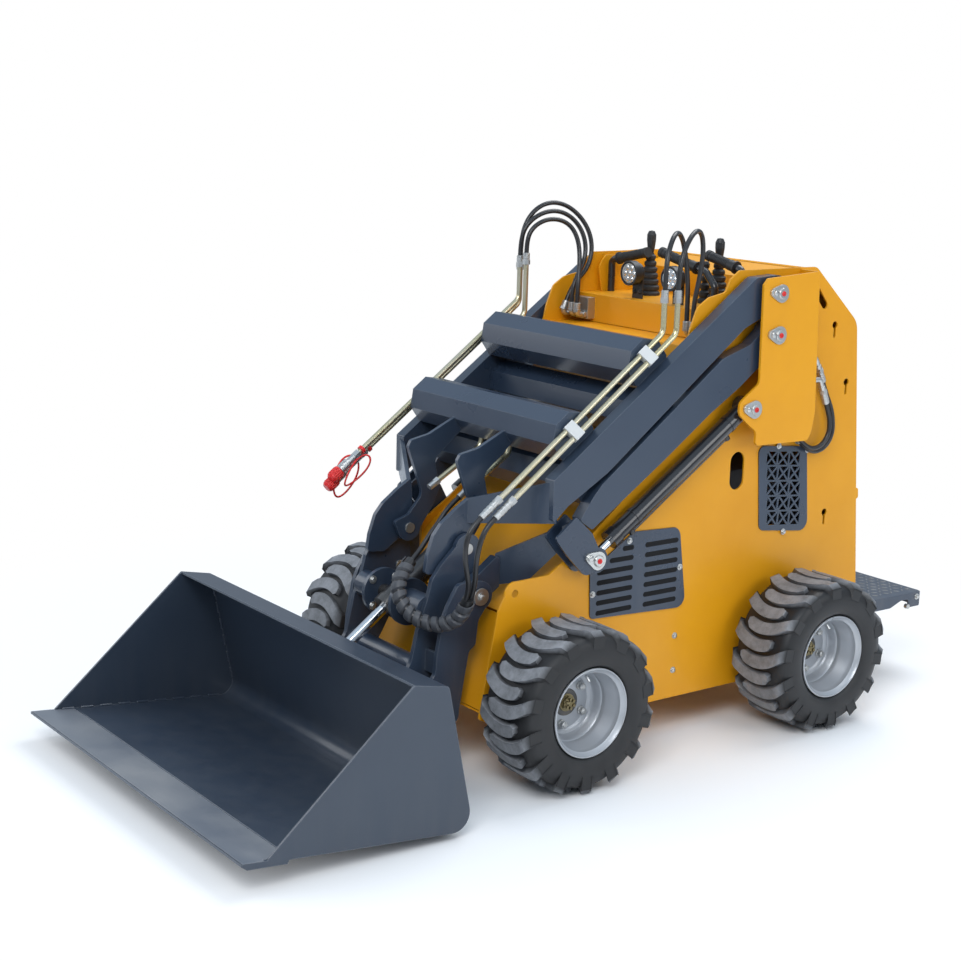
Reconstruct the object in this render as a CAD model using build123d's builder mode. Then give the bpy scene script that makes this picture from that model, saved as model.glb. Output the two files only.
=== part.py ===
from build123d import *
from math import atan2, degrees, pi, radians, tan
import os

os.makedirs("parts", exist_ok=True)

# A stand-on skid steer loader: front is -Y, up is +Z, its left side is +X, millimetres.
# Side profiles are drawn on Plane.YZ, so a sketch point is (y, z) and extrusion runs along X.
# What both sides have is drawn on the left and mirrored.

# ---- driving dimensions: wheels ----
WHEELBASE = 920.0
FRONT_AXLE_Y = -280.0
REAR_AXLE_Y = FRONT_AXLE_Y + WHEELBASE
TYRE_R = 228.5
TYRE_W = 216.0
TYRE_GAP = 29.0
RIM_R = 121.0
RIM_BARREL_R = 101.0
HUB_BORE_R = 32.0
HUB_GAP = 0.06

# ---- driving dimensions: body, towers and arms, from the middle outwards ----
SIDE_X = 325.0
SIDE_T = 6.0
PANEL_T = 4.0
ARM_GAP = 12.0
ARM_W = 38.0
TOWER_T = 8.0
INSIDE_X = SIDE_X - SIDE_T
ARM_IN_X = SIDE_X + ARM_GAP
ARM_OUT_X = ARM_IN_X + ARM_W
TOWER_IN_X = ARM_OUT_X + ARM_GAP
TOWER_OUT_X = TOWER_IN_X + TOWER_T
TRACK_X = SIDE_X + TYRE_GAP + TYRE_W / 2
FLOOR_Z = 113.0
ROOF_Z = 1346.0
CONSOLE_Z = 1225.0
CONSOLE_Y = REAR_AXLE_Y - 297
SHEET_T = 6.0

# ---- driving dimensions: head plates, from the middle outwards ----
LEVER_X = 112.0
LEVER_T = 12.0
NOSE_X = 136.0
INNER_HEAD_X = 156.0
LINK_NOSE_X = 180.0
LINK_NOSE_T = 28.0
OUTER_HEAD_X = 216.0
HEAD_T = 14.0
HEAD_GAP = 6.0

# ---- driving dimensions: pins and cylinders ----
PIN_R = 15.0
PIN_GAP = 0.05
FACE_GAP = 0.03
ROD_GAP = 0.06
LIFT_BARREL_R = 25.0
LIFT_ROD_R = 12.5
TILT_BARREL_R = 34.0
TILT_ROD_R = 15.0
TRUNNION_R = 20.0

# ---- pins, each (y, z) ----
LINK_DROP = 119.0
UPPER_PIN = (REAR_AXLE_Y - 138, 1284.0)
LOWER_PIN = (UPPER_PIN[0], UPPER_PIN[1] - LINK_DROP)
LIFT_PIN = (REAR_AXLE_Y - 219, 957.0)
HEAD_TOP_PIN = (FRONT_AXLE_Y - 132, 606.0)
HEAD_LOW_PIN = (HEAD_TOP_PIN[0], HEAD_TOP_PIN[1] - LINK_DROP)
TRUNNION = (HEAD_TOP_PIN[0] - 118, HEAD_TOP_PIN[1] - 156)
TILT_PIN = (HEAD_TOP_PIN[0] - 198, HEAD_TOP_PIN[1] - 421)
TILT_EYE = (TILT_PIN[0] - 90, TILT_PIN[1] + 141)
STEP_PIN = (REAR_AXLE_Y + 384, 246.0)
STEP_PIN_R = 8.0

ARM_LINE = Vector(HEAD_TOP_PIN[0] - UPPER_PIN[0], HEAD_TOP_PIN[1] - UPPER_PIN[1]).normalized()
ARM_RISE = Vector(ARM_LINE.Y, -ARM_LINE.X)
ARM_DIR = Vector(0, ARM_LINE.X, ARM_LINE.Y)
ARM_SLOPE = degrees(atan2(-ARM_LINE.Y, -ARM_LINE.X))


def by_arm(pin, forward, above):
    """A side-view point measured from a pin along the arm, forwards, and square to it, upwards."""
    return (
        pin[0] + ARM_LINE.X * forward + ARM_RISE.X * above,
        pin[1] + ARM_LINE.Y * forward + ARM_RISE.Y * above,
    )


def off_arm(pin, forward, above, round_r):
    """A corner of a plate: a point measured by the arm, with its corner radius."""
    return (*by_arm(pin, forward, above), round_r)


def rounded(corners):
    """The closed outline of a plate from its corners, each (y, z, radius)."""
    points = [(y, z) for y, z, round_r in corners]
    return FilletPolyline(*points, radius=[round_r for y, z, round_r in corners], close=True)


def upright(start, end):
    """The plane of an upright plate that runs in plan from start to end, each (x, y)."""
    along = Vector(end[0] - start[0], end[1] - start[1], 0).normalized()
    return Plane(origin=(start[0], start[1], 0), x_dir=along, z_dir=along.cross(Vector(0, 0, 1)))


ROD_PIN = by_arm(HEAD_LOW_PIN, -283.5, -89.5)

# ---- side plates: one flat cut plate each side, with a tie-down ear at the front ----
NOSE_Y = FRONT_AXLE_Y - 195
TAIL_Y = REAR_AXLE_Y + 363
EAR = (FRONT_AXLE_Y - 85, 510.0)
EAR_R = 34.0
EAR_HOLE_R = 11.0
SIDE_CORNERS = [
    (NOSE_Y, 176, 8),
    (FRONT_AXLE_Y - 50, FLOOR_Z, 15),
    (TAIL_Y, FLOOR_Z, 8),
    (TAIL_Y - 20, 368, 120),
    (TAIL_Y - 96, 1174, 60),
    (REAR_AXLE_Y + 77, ROOF_Z, 30),
    (REAR_AXLE_Y - 236, ROOF_Z, 10),
    (REAR_AXLE_Y - 270, 1322, 10),
    (REAR_AXLE_Y - 288, 1286, 15),
    (REAR_AXLE_Y - 350, 1274, 30),
    (REAR_AXLE_Y - 392, 1248, 30),
    (REAR_AXLE_Y - 417, 1187, 40),
    off_arm(UPPER_PIN, 529, -123, 60),
    off_arm(HEAD_TOP_PIN, -396, -152, 120),
    off_arm(HEAD_TOP_PIN, -249, -155, 120),
    (FRONT_AXLE_Y + 30, EAR[1] + EAR_R + 2, 30),
    (EAR[0], EAR[1] + EAR_R - 1, 0),
    (EAR[0] - EAR_R + 2, EAR[1], 0),
    (FRONT_AXLE_Y - 140, 468, 8),
]
GRILLE_CORNERS = [
    (REAR_AXLE_Y - 122, 830, 20),
    (REAR_AXLE_Y + 80, 811, 12),
    (REAR_AXLE_Y + 105, 549, 30),
    (REAR_AXLE_Y - 101, 574, 20),
]
LOUVRE_CORNERS = [
    (FRONT_AXLE_Y + 171, 535, 12),
    (FRONT_AXLE_Y + 325, 631, 16),
    (FRONT_AXLE_Y + 499, 624, 30),
    (FRONT_AXLE_Y + 535, 383, 30),
    (FRONT_AXLE_Y + 177, 400, 12),
]
PANEL_RIM = 16.0
LOUVRE_W = 112.0
LOUVRE_H = 150.0
LOUVRE_WINDOWS = [(FRONT_AXLE_Y + 262, 478), (FRONT_AXLE_Y + 437, 508)]
KEYHOLES = [(REAR_AXLE_Y + 171, 1170), (REAR_AXLE_Y + 237, 993), (REAR_AXLE_Y + 179, 596)]
KEYHOLE_R = 11.0
KEYHOLE_SLOT = 9.0
FRAME_SLOT = (REAR_AXLE_Y - 203, 764.0)
LATCH_CORNERS = [
    (TAIL_Y - 90, 668, 0), (TAIL_Y - 38, 655, 8), (TAIL_Y - 35, 626, 8), (TAIL_Y - 90, 598, 0),
]
with BuildPart() as side_plates:
    with BuildSketch(Plane.YZ.offset(INSIDE_X)):
        with BuildLine():
            rounded(SIDE_CORNERS)
        make_face()
        with Locations(EAR):
            Circle(EAR_R)
        with BuildLine():
            rounded(LATCH_CORNERS)
        make_face()
        with Locations(EAR):
            Circle(EAR_HOLE_R, mode=Mode.SUBTRACT)
        with Locations(UPPER_PIN, LOWER_PIN, LIFT_PIN):
            Circle(PIN_R, mode=Mode.SUBTRACT)
        with Locations(FRAME_SLOT):
            SlotOverall(112, 56, rotation=90, mode=Mode.SUBTRACT)
        with Locations((REAR_AXLE_Y + 104, 1252)):
            SlotOverall(75, 24, rotation=-51, mode=Mode.SUBTRACT)
        with Locations(*KEYHOLES):
            Circle(KEYHOLE_R, mode=Mode.SUBTRACT)
        with Locations(*[(y, z - 2 * KEYHOLE_R) for y, z in KEYHOLES]):
            RectangleRounded(KEYHOLE_SLOT, 3 * KEYHOLE_R, 4, mode=Mode.SUBTRACT)
        with BuildLine():
            rounded(GRILLE_CORNERS)
            offset(amount=-PANEL_RIM, mode=Mode.REPLACE)
        make_face(mode=Mode.SUBTRACT)
        with Locations(*LOUVRE_WINDOWS):
            Rectangle(LOUVRE_W, LOUVRE_H, mode=Mode.SUBTRACT)
    extrude(amount=SIDE_T)
    mirror(about=Plane.YZ)
side_plates.part.label = "side_plates"
export_step(side_plates.part, "parts/side_plates.step")

# ---- side grilles: a plate with three columns of square cells, each crossed by two struts ----
GRILLE_COLUMNS = 3
GRILLE_ROWS = 5
CELL_W = 42.0
CELL_H = 40.0
STRUT_W = 6.0
GRILLE_MIDDLE = Vector(REAR_AXLE_Y - 10, 692)
GRILLE_ACROSS = Vector(48, -4.5)
GRILLE_DOWN = Vector(3.8, -46)
GRILLE_LEAN = degrees(atan2(GRILLE_ACROSS.Y, GRILLE_ACROSS.X))
CELLS = []
for column in range(GRILLE_COLUMNS):
    for row in range(GRILLE_ROWS):
        across = column - (GRILLE_COLUMNS - 1) / 2
        down = row - (GRILLE_ROWS - 1) / 2
        cell = GRILLE_MIDDLE + GRILLE_ACROSS * across + GRILLE_DOWN * down
        CELLS.append(Location(cell, (0, 0, GRILLE_LEAN)))
with BuildPart() as side_grilles:
    with BuildSketch(Plane.YZ.offset(SIDE_X)):
        with BuildLine():
            rounded(GRILLE_CORNERS)
        make_face()
        with Locations(*CELLS):
            Rectangle(CELL_W, CELL_H, mode=Mode.SUBTRACT)
            Rectangle(1.3 * CELL_W, STRUT_W, rotation=45)
            Rectangle(1.3 * CELL_W, STRUT_W, rotation=-45)
    extrude(amount=PANEL_T)
    mirror(about=Plane.YZ)
side_grilles.part.label = "side_grilles"
export_step(side_grilles.part, "parts/side_grilles.step")

# ---- louvre panels: two columns of level slots, each under a pressed lip ----
SLOT_ROWS = 7
SLOT_PITCH = 29.0
SLOT_H = 10.0
# columns: y of the middle of the column, z of its lowest slot, slot length, slots in the column
SLOT_COLUMNS = [
    (FRONT_AXLE_Y + 262, 412, 104, 5),
    (FRONT_AXLE_Y + 437, 414, 118, SLOT_ROWS),
]
with BuildPart() as side_louvres:
    with BuildSketch(Plane.YZ.offset(SIDE_X)):
        with BuildLine():
            rounded(LOUVRE_CORNERS)
        make_face()
        for middle, lowest, length, count in SLOT_COLUMNS:
            with Locations(*[(middle, lowest + SLOT_PITCH * row) for row in range(count)]):
                SlotOverall(length, SLOT_H, mode=Mode.SUBTRACT)
    extrude(amount=PANEL_T)
    mirror(about=Plane.YZ)
side_louvres.part.label = "side_louvres"
export_step(side_louvres.part, "parts/side_louvres.step")

# ---- towers: an outer plate each side and the flange that closes the tower's rear ----
TOWER_CORNERS = [
    (REAR_AXLE_Y - 207, 1310, 10),
    (REAR_AXLE_Y - 190, 1328, 10),
    (REAR_AXLE_Y + 16, 1341, 6),
    (REAR_AXLE_Y + 33, 927, 60),
    (REAR_AXLE_Y + 22, 870, 30),
    (REAR_AXLE_Y + 8, 846, 10),
    (REAR_AXLE_Y - 198, 850, 8),
    (REAR_AXLE_Y - 206, 858, 8),
    (REAR_AXLE_Y - 204, 890, 20),
    (REAR_AXLE_Y - 240, 916, 20),
    (REAR_AXLE_Y - 276, 945, 24),
    (REAR_AXLE_Y - 276, 980, 24),
    (REAR_AXLE_Y - 202, 1030, 20),
]
FLANGE_CORNERS = [
    (REAR_AXLE_Y + 8, 1341), (REAR_AXLE_Y + 16, 1341), (REAR_AXLE_Y + 33, 927), (REAR_AXLE_Y + 22, 870),
    (REAR_AXLE_Y + 14, 870), (REAR_AXLE_Y + 25, 927),
]
with BuildPart() as tower_plates:
    with BuildSketch(Plane.YZ.offset(TOWER_IN_X)):
        with BuildLine():
            rounded(TOWER_CORNERS)
        make_face()
        with Locations(UPPER_PIN, LOWER_PIN, LIFT_PIN):
            Circle(PIN_R, mode=Mode.SUBTRACT)
    extrude(amount=TOWER_T)
    with BuildSketch(Plane.YZ.offset(SIDE_X)):
        Polygon(*FLANGE_CORNERS, align=None)
    extrude(amount=TOWER_IN_X - SIDE_X)
    mirror(about=Plane.YZ)
tower_plates.part.label = "tower_plates"
export_step(tower_plates.part, "parts/tower_plates.step")

# ---- sheets between the side plates, each a bent line given its thickness ----
# columns: name, the bent line's points, the side that the thickness goes to
HOOD_BACK = 10.0
PANEL_TOP = (FRONT_AXLE_Y - 72, 432.0)
SHEETS = [
    ("belly_plate", [
        (NOSE_Y + 38, 173), (FRONT_AXLE_Y - 46, FLOOR_Z + 6), (TAIL_Y - 4, FLOOR_Z + 6),
    ], Side.LEFT),
    ("front_panel", [(NOSE_Y + 38, 181), PANEL_TOP], Side.RIGHT),
    ("hood", [
        (PANEL_TOP[0] + 8, PANEL_TOP[1] + 4), (FRONT_AXLE_Y - 20, 462), (FRONT_AXLE_Y + 50, 522),
        by_arm(HEAD_TOP_PIN, -249, -155 - HOOD_BACK), by_arm(HEAD_TOP_PIN, -396, -152 - HOOD_BACK),
        by_arm(UPPER_PIN, 524, -124 - HOOD_BACK), (REAR_AXLE_Y - 424, CONSOLE_Z - 85),
        (CONSOLE_Y - 1, CONSOLE_Z - 85),
    ], Side.RIGHT),
    ("rear_panel", [
        (TAIL_Y - 5, FLOOR_Z + 13), (TAIL_Y - 25, 368), (TAIL_Y - 101, 1172), (REAR_AXLE_Y + 76, ROOF_Z - 5),
    ], Side.LEFT),
    ("console_box", [
        (CONSOLE_Y, CONSOLE_Z - 84), (CONSOLE_Y, CONSOLE_Z), (REAR_AXLE_Y - 34, CONSOLE_Z),
    ], Side.RIGHT),
]
for name, points, side in SHEETS:
    with BuildPart() as sheet:
        with BuildSketch(Plane.YZ.offset(-INSIDE_X)):
            with BuildLine():
                Polyline(*points)
                offset(amount=SHEET_T, side=side)
            make_face()
        extrude(amount=2 * INSIDE_X)
    sheet.part.label = name
    export_step(sheet.part, "parts/" + name + ".step")

# ---- dash: a cheek beside each side plate, and the bent panel between them ----
CHEEK_X = 300.0
CHEEK_CORNERS = [
    (REAR_AXLE_Y - 213, CONSOLE_Z, 0),
    (REAR_AXLE_Y - 229, 1301, 20),
    (REAR_AXLE_Y - 202, 1337, 20),
    (REAR_AXLE_Y - 34, 1337, 10),
    (REAR_AXLE_Y - 34, CONSOLE_Z, 0),
]
with BuildPart() as dash_panel:
    with BuildSketch(Plane.YZ.offset(CHEEK_X)):
        with BuildLine():
            rounded(CHEEK_CORNERS)
        make_face()
    extrude(amount=SHEET_T)
    mirror(about=Plane.YZ)
    with BuildSketch(Plane.YZ.offset(-CHEEK_X - SHEET_T)):
        with BuildLine():
            Polyline(
                (REAR_AXLE_Y - 34, CONSOLE_Z), (REAR_AXLE_Y - 34, CONSOLE_Z + 78),
                (REAR_AXLE_Y + 66, ROOF_Z - 10),
            )
            offset(amount=SHEET_T, side=Side.RIGHT)
        make_face()
    extrude(amount=2 * (CHEEK_X + SHEET_T))
dash_panel.part.label = "dash_panel"
export_step(dash_panel.part, "parts/dash_panel.step")

with BuildPart() as engine_block:
    with Locations((0, REAR_AXLE_Y, FLOOR_Z + 6 + SHEET_T)):
        Box(360, 440, 600, align=(Align.CENTER, Align.CENTER, Align.MIN))
engine_block.part.label = "engine_block"
export_step(engine_block.part, "parts/engine_block.step")

# ---- tower pins: each has a teardrop retainer plate, bolted to the tower ----
RETAINER_T = 6.0
RETAINER_R = 26.0
RETAINER_TIP_R = 13.0
RETAINER_REACH = 32.0
with BuildPart() as tower_pins:
    for pin in (UPPER_PIN, LOWER_PIN, LIFT_PIN):
        with BuildSketch(Plane.YZ.offset(INSIDE_X)):
            with Locations(pin):
                Circle(PIN_R)
        extrude(amount=TOWER_OUT_X - INSIDE_X)
        with BuildSketch(Plane.YZ.offset(TOWER_OUT_X)):
            with Locations(pin):
                Circle(RETAINER_R)
            with Locations((pin[0] - RETAINER_REACH, pin[1] + 4)):
                Circle(RETAINER_TIP_R)
            make_hull()
        extrude(amount=RETAINER_T)
    mirror(about=Plane.YZ)
tower_pins.part.label = "tower_pins"
export_step(tower_pins.part, "parts/tower_pins.step")

# ---- wheel motors: a flange on the side plate, a round housing and the stub that carries the rim ----
MOTOR_R = 78.0
MOTOR_LEN = 110.0
MOTOR_FLANGE_R = 94.0
STUB_LEN = 70.0
with BuildPart() as wheel_motors:
    for y in (FRONT_AXLE_Y, REAR_AXLE_Y):
        for radius, start, length in (
            (MOTOR_FLANGE_R, SIDE_X, 12.0),
            (MOTOR_R, SIDE_X, MOTOR_LEN),
            (HUB_BORE_R - HUB_GAP, SIDE_X + MOTOR_LEN, STUB_LEN),
        ):
            with BuildSketch(Plane.YZ.offset(start)):
                with Locations((y, TYRE_R)):
                    Circle(radius)
            extrude(amount=length)
    mirror(about=Plane.YZ)
wheel_motors.part.label = "wheel_motors"
export_step(wheel_motors.part, "parts/wheel_motors.step")

# ---- wheels: a hollow tyre on a dished rim, turned about each axle ----
HALF_W = TYRE_W / 2
BEAD_X = 87.7
BEAD_R = RIM_BARREL_R + 0.3
WALL_R = 150.0
SHOULDER_R = 185.0
TYRE_WALL = 14.0
TYRE_HALF = [
    (BEAD_X, BEAD_R), (BEAD_X, RIM_R + 1), (HALF_W, WALL_R), (HALF_W, SHOULDER_R), (HALF_W - 18, TYRE_R - 10),
    (HALF_W - 48, TYRE_R - 3),
]
CAVITY_HALF = [
    (72, BEAD_R), (72, 118), (HALF_W - TYRE_WALL, WALL_R), (HALF_W - TYRE_WALL, SHOULDER_R),
    (HALF_W - 28, TYRE_R - 23),
]
RIM_PROFILE = [
    (-92, RIM_R), (-88, RIM_R), (-88, RIM_BARREL_R), (88, RIM_BARREL_R), (92, RIM_R), (98, RIM_R),
    (94, RIM_BARREL_R - 5), (20, RIM_BARREL_R - 12), (12, 82), (12, HUB_BORE_R), (4, HUB_BORE_R), (4, 86),
    (-88, RIM_BARREL_R - 5),
]
for name, side, y in (
    ("front_left", 1, FRONT_AXLE_Y),
    ("front_right", -1, FRONT_AXLE_Y),
    ("rear_left", 1, REAR_AXLE_Y),
    ("rear_right", -1, REAR_AXLE_Y),
):
    axle = Axis((0, y, TYRE_R), (1, 0, 0))
    seat = Plane(origin=(side * TRACK_X, y, TYRE_R), x_dir=(side, 0, 0), z_dir=(0, -side, 0))
    with BuildPart() as tyre:
        with BuildSketch(seat):
            Polygon(
                *[(-x, r) for x, r in TYRE_HALF], (0, TYRE_R), *reversed(TYRE_HALF), *CAVITY_HALF,
                *[(-x, r) for x, r in reversed(CAVITY_HALF)], align=None,
            )
        revolve(axis=axle)
    tyre.part.label = "tyre_" + name
    export_step(tyre.part, "parts/tyre_" + name + ".step")
    with BuildPart() as rim:
        with BuildSketch(seat):
            Polygon(*RIM_PROFILE, align=None)
        revolve(axis=axle)
    rim.part.label = "rim_" + name
    export_step(rim.part, "parts/rim_" + name + ".step")

# ---- upper arm: two beams, two eight-sided cross tubes, and the levers and nose plates on its head pin ----
TUBE_FLAT = 132.0
TUBE_TURN = ARM_SLOPE + 22.5
# columns: distance of each cross tube from the upper pin along the arm, height above the pins' line
ARM_TUBES = [(462.0, 121.0), (773.0, 125.5)]
BEAM_TOP_REAR = (37.0, 84.0)
BEAM_TOP_FRONT = (885.0, 96.0)
BOSS_R = 50.0
NOSE_BOSS_R = 38.0
GUSSET_T = 12.0
BEAM_CORNERS = [
    off_arm(UPPER_PIN, -20, 46, 10),
    off_arm(UPPER_PIN, *BEAM_TOP_REAR, 40),
    off_arm(UPPER_PIN, *BEAM_TOP_FRONT, 20),
    (FRONT_AXLE_Y - 5, 820, 6),
    (FRONT_AXLE_Y - 5, 702, 6),
    off_arm(HEAD_TOP_PIN, -226, 6, 30),
    off_arm(HEAD_TOP_PIN, -380, -12, 100),
    off_arm(UPPER_PIN, 149, -8, 60),
    off_arm(UPPER_PIN, -10, -48, 10),
]
LEVER_CORNERS = [
    (FRONT_AXLE_Y - 130, 859, 10),
    (FRONT_AXLE_Y - 69, 871, 14),
    (FRONT_AXLE_Y + 18, 912, 0),
    (FRONT_AXLE_Y + 50, 880, 0),
    (FRONT_AXLE_Y - 50, 796, 26),
    (FRONT_AXLE_Y - 30, 712, 20),
    (FRONT_AXLE_Y - 52, 664, 20),
    (HEAD_TOP_PIN[0] + 18, HEAD_TOP_PIN[1] - 30, 8),
    (HEAD_TOP_PIN[0] - 34, HEAD_TOP_PIN[1] - 14, 8),
    (FRONT_AXLE_Y - 183, 629, 8),
    (FRONT_AXLE_Y - 135, 645, 12),
    (FRONT_AXLE_Y - 88, 699, 30),
    (FRONT_AXLE_Y - 141, 840, 12),
]
NOSE_CORNERS = [
    (FRONT_AXLE_Y - 112, 744, 4),
    (FRONT_AXLE_Y - 160, 715, 20),
    (FRONT_AXLE_Y - 206, 681, 20),
    (FRONT_AXLE_Y - 231, 651, 20),
    (FRONT_AXLE_Y - 250, 597, 20),
    (FRONT_AXLE_Y - 258, 547, 10),
    (FRONT_AXLE_Y - 200, 541, 16),
    (HEAD_TOP_PIN[0] - 20, HEAD_TOP_PIN[1] - 33, 12),
    (HEAD_TOP_PIN[0] + 34, HEAD_TOP_PIN[1] - 12, 12),
    (FRONT_AXLE_Y - 108, 670, 6),
]
ARM_GUSSET = upright((ARM_OUT_X, FRONT_AXLE_Y + 5), (NOSE_X + 6, FRONT_AXLE_Y - 125))
ARM_GUSSET_CORNERS = [(0, 702), (0, 818), (262, 741), (262, 672)]
with BuildPart() as upper_arm:
    with BuildSketch(Plane.YZ.offset(ARM_IN_X)):
        with BuildLine():
            rounded(BEAM_CORNERS)
        make_face()
        with Locations(UPPER_PIN):
            Circle(BOSS_R)
        with Locations(UPPER_PIN):
            Circle(PIN_R + PIN_GAP, mode=Mode.SUBTRACT)
    extrude(amount=ARM_W)
    for x, thick, corners in ((LEVER_X, LEVER_T, LEVER_CORNERS), (NOSE_X, HEAD_T, NOSE_CORNERS)):
        with BuildSketch(Plane.YZ.offset(x)):
            with BuildLine():
                rounded(corners)
            make_face()
            with Locations(HEAD_TOP_PIN):
                Circle(NOSE_BOSS_R)
            with Locations(HEAD_TOP_PIN):
                Circle(PIN_R + PIN_GAP, mode=Mode.SUBTRACT)
        extrude(amount=thick)
    with BuildSketch(ARM_GUSSET):
        Polygon(*ARM_GUSSET_CORNERS, align=None)
    extrude(amount=GUSSET_T)
    mirror(about=Plane.YZ)
    for forward, above in ARM_TUBES:
        with BuildSketch(Plane.YZ.offset(-ARM_IN_X)):
            with Locations(by_arm(UPPER_PIN, forward, above)):
                RegularPolygon(TUBE_FLAT / 2, 8, major_radius=False, rotation=TUBE_TURN)
        extrude(amount=2 * ARM_IN_X)
upper_arm.part.label = "upper_arm"
export_step(upper_arm.part, "parts/upper_arm.step")

# ---- lower link: two beams with cross tubes like the arm's, rod brackets, and a nose to the head ----
LINK_BOSS_R = 45.0
LINK_TUBES = [by_arm(LOWER_PIN, 449, 74), by_arm(HEAD_LOW_PIN, -421, 72)]
BRACKET_OUT_T = 8.0
BRACKET_IN_T = 6.0
BRACKET_BOSS_R = 36.0
# the notch behind the first corners lets the arm's boss swing over the link
LINK_CORNERS = [
    off_arm(LOWER_PIN, -20, 38, 10),
    off_arm(LOWER_PIN, 88, 34, 20),
    off_arm(LOWER_PIN, 190, 69, 20),
    off_arm(HEAD_LOW_PIN, -420, 69, 60),
    off_arm(HEAD_LOW_PIN, -375, 61, 20),
    off_arm(HEAD_LOW_PIN, -305, 39, 8),
    off_arm(HEAD_LOW_PIN, -322, -11, 8),
    off_arm(LOWER_PIN, 511, -26, 60),
    off_arm(LOWER_PIN, 313, -31, 60),
    off_arm(LOWER_PIN, 183, -42, 30),
    off_arm(LOWER_PIN, -10, -44, 10),
]
BRACKET_CORNERS = [
    off_arm(HEAD_LOW_PIN, -297, 62, 6),
    off_arm(HEAD_LOW_PIN, -211, 61, 10),
    off_arm(HEAD_LOW_PIN, -214, -2, 16),
    off_arm(HEAD_LOW_PIN, -228, -110, 30),
    off_arm(HEAD_LOW_PIN, -302, -98, 30),
    off_arm(HEAD_LOW_PIN, -313, -14, 10),
]
LINK_NOSE_CORNERS = [
    (FRONT_AXLE_Y - 50, 592, 10),
    (HEAD_LOW_PIN[0] - 20, HEAD_LOW_PIN[1] + 32, 10),
    (HEAD_LOW_PIN[0] + 10, HEAD_LOW_PIN[1] - 36, 10),
    (FRONT_AXLE_Y - 50, 498, 10),
]
LINK_GUSSET = upright((ARM_OUT_X, FRONT_AXLE_Y + 90), (LINK_NOSE_X + 14, FRONT_AXLE_Y - 58))
LINK_GUSSET_CORNERS = [(0, 672), (0, 706), (233, 588), (233, 500), (140, 520)]
with BuildPart() as lower_link:
    with BuildSketch(Plane.YZ.offset(ARM_IN_X)):
        with BuildLine():
            rounded(LINK_CORNERS)
        make_face()
        with Locations(LOWER_PIN):
            Circle(LINK_BOSS_R)
        with Locations(LOWER_PIN):
            Circle(PIN_R + PIN_GAP, mode=Mode.SUBTRACT)
    extrude(amount=ARM_W)
    for x, thick in ((ARM_OUT_X, BRACKET_OUT_T), (ARM_IN_X - BRACKET_IN_T, BRACKET_IN_T)):
        with BuildSketch(Plane.YZ.offset(x)):
            with BuildLine():
                rounded(BRACKET_CORNERS)
            make_face()
            with Locations(ROD_PIN):
                Circle(BRACKET_BOSS_R)
            with Locations(ROD_PIN):
                Circle(PIN_R, mode=Mode.SUBTRACT)
        extrude(amount=thick)
    with BuildSketch(Plane.YZ.offset(LINK_NOSE_X)):
        with BuildLine():
            rounded(LINK_NOSE_CORNERS)
        make_face()
        with Locations(HEAD_LOW_PIN):
            Circle(NOSE_BOSS_R)
        with Locations(HEAD_LOW_PIN):
            Circle(PIN_R + PIN_GAP, mode=Mode.SUBTRACT)
    extrude(amount=LINK_NOSE_T)
    with BuildSketch(LINK_GUSSET):
        Polygon(*LINK_GUSSET_CORNERS, align=None)
    extrude(amount=GUSSET_T)
    mirror(about=Plane.YZ)
    for centre in LINK_TUBES:
        with BuildSketch(Plane.YZ.offset(-ARM_IN_X)):
            with Locations(centre):
                RegularPolygon(TUBE_FLAT / 2, 8, major_radius=False, rotation=TUBE_TURN)
        extrude(amount=2 * ARM_IN_X)
lower_link.part.label = "lower_link"
export_step(lower_link.part, "parts/lower_link.step")

# the rod pins are stubs in the brackets, so the rod eyes between them stay free
with BuildPart() as rod_pins:
    for x, length in ((ARM_OUT_X, BRACKET_OUT_T), (ARM_IN_X - BRACKET_IN_T, BRACKET_IN_T)):
        with BuildSketch(Plane.YZ.offset(x)):
            with Locations(ROD_PIN):
                Circle(PIN_R)
        extrude(amount=length)
    with BuildSketch(Plane.YZ.offset(ARM_OUT_X + BRACKET_OUT_T)):
        with Locations(ROD_PIN):
            Circle(RETAINER_R)
        with Locations((ROD_PIN[0] - RETAINER_REACH, ROD_PIN[1] + 12)):
            Circle(RETAINER_TIP_R)
        make_hull()
    extrude(amount=RETAINER_T)
    mirror(about=Plane.YZ)
rod_pins.part.label = "rod_pins"
export_step(rod_pins.part, "parts/rod_pins.step")

# ---- head: inner and outer plates each side, webs between them, and a cross tube ----
HEAD_BOSS_R = 42.0
HEAD_TUBE = (HEAD_TOP_PIN[0] - 148, HEAD_TOP_PIN[1] - 316)
HEAD_TUBE_R = 30.0
INNER_HEAD_CORNERS = [
    (HEAD_TOP_PIN[0] - 10, HEAD_TOP_PIN[1] + 38, 20),
    (HEAD_TOP_PIN[0] - 88, HEAD_TOP_PIN[1] - 36, 30),
    (HEAD_TOP_PIN[0] - 116, HEAD_TOP_PIN[1] - 73, 20),
    (HEAD_TOP_PIN[0] - 130, HEAD_TOP_PIN[1] - 126, 40),
    (HEAD_TOP_PIN[0] - 153, HEAD_TOP_PIN[1] - 183, 40),
    (HEAD_TOP_PIN[0] - 178, HEAD_TOP_PIN[1] - 290, 60),
    (TILT_PIN[0] - 44, TILT_PIN[1] + 20, 40),
    (TILT_PIN[0] - 30, TILT_PIN[1] - 44, 34),
    (TILT_PIN[0] + 40, TILT_PIN[1] - 44, 30),
    (HEAD_LOW_PIN[0] - 60, HEAD_LOW_PIN[1] - 190, 60),
    (HEAD_LOW_PIN[0] - 14, HEAD_LOW_PIN[1] - 110, 40),
    (HEAD_LOW_PIN[0] + 34, HEAD_LOW_PIN[1] - 20, 20),
    (HEAD_TOP_PIN[0] + 36, HEAD_TOP_PIN[1] - 10, 20),
]
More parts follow.
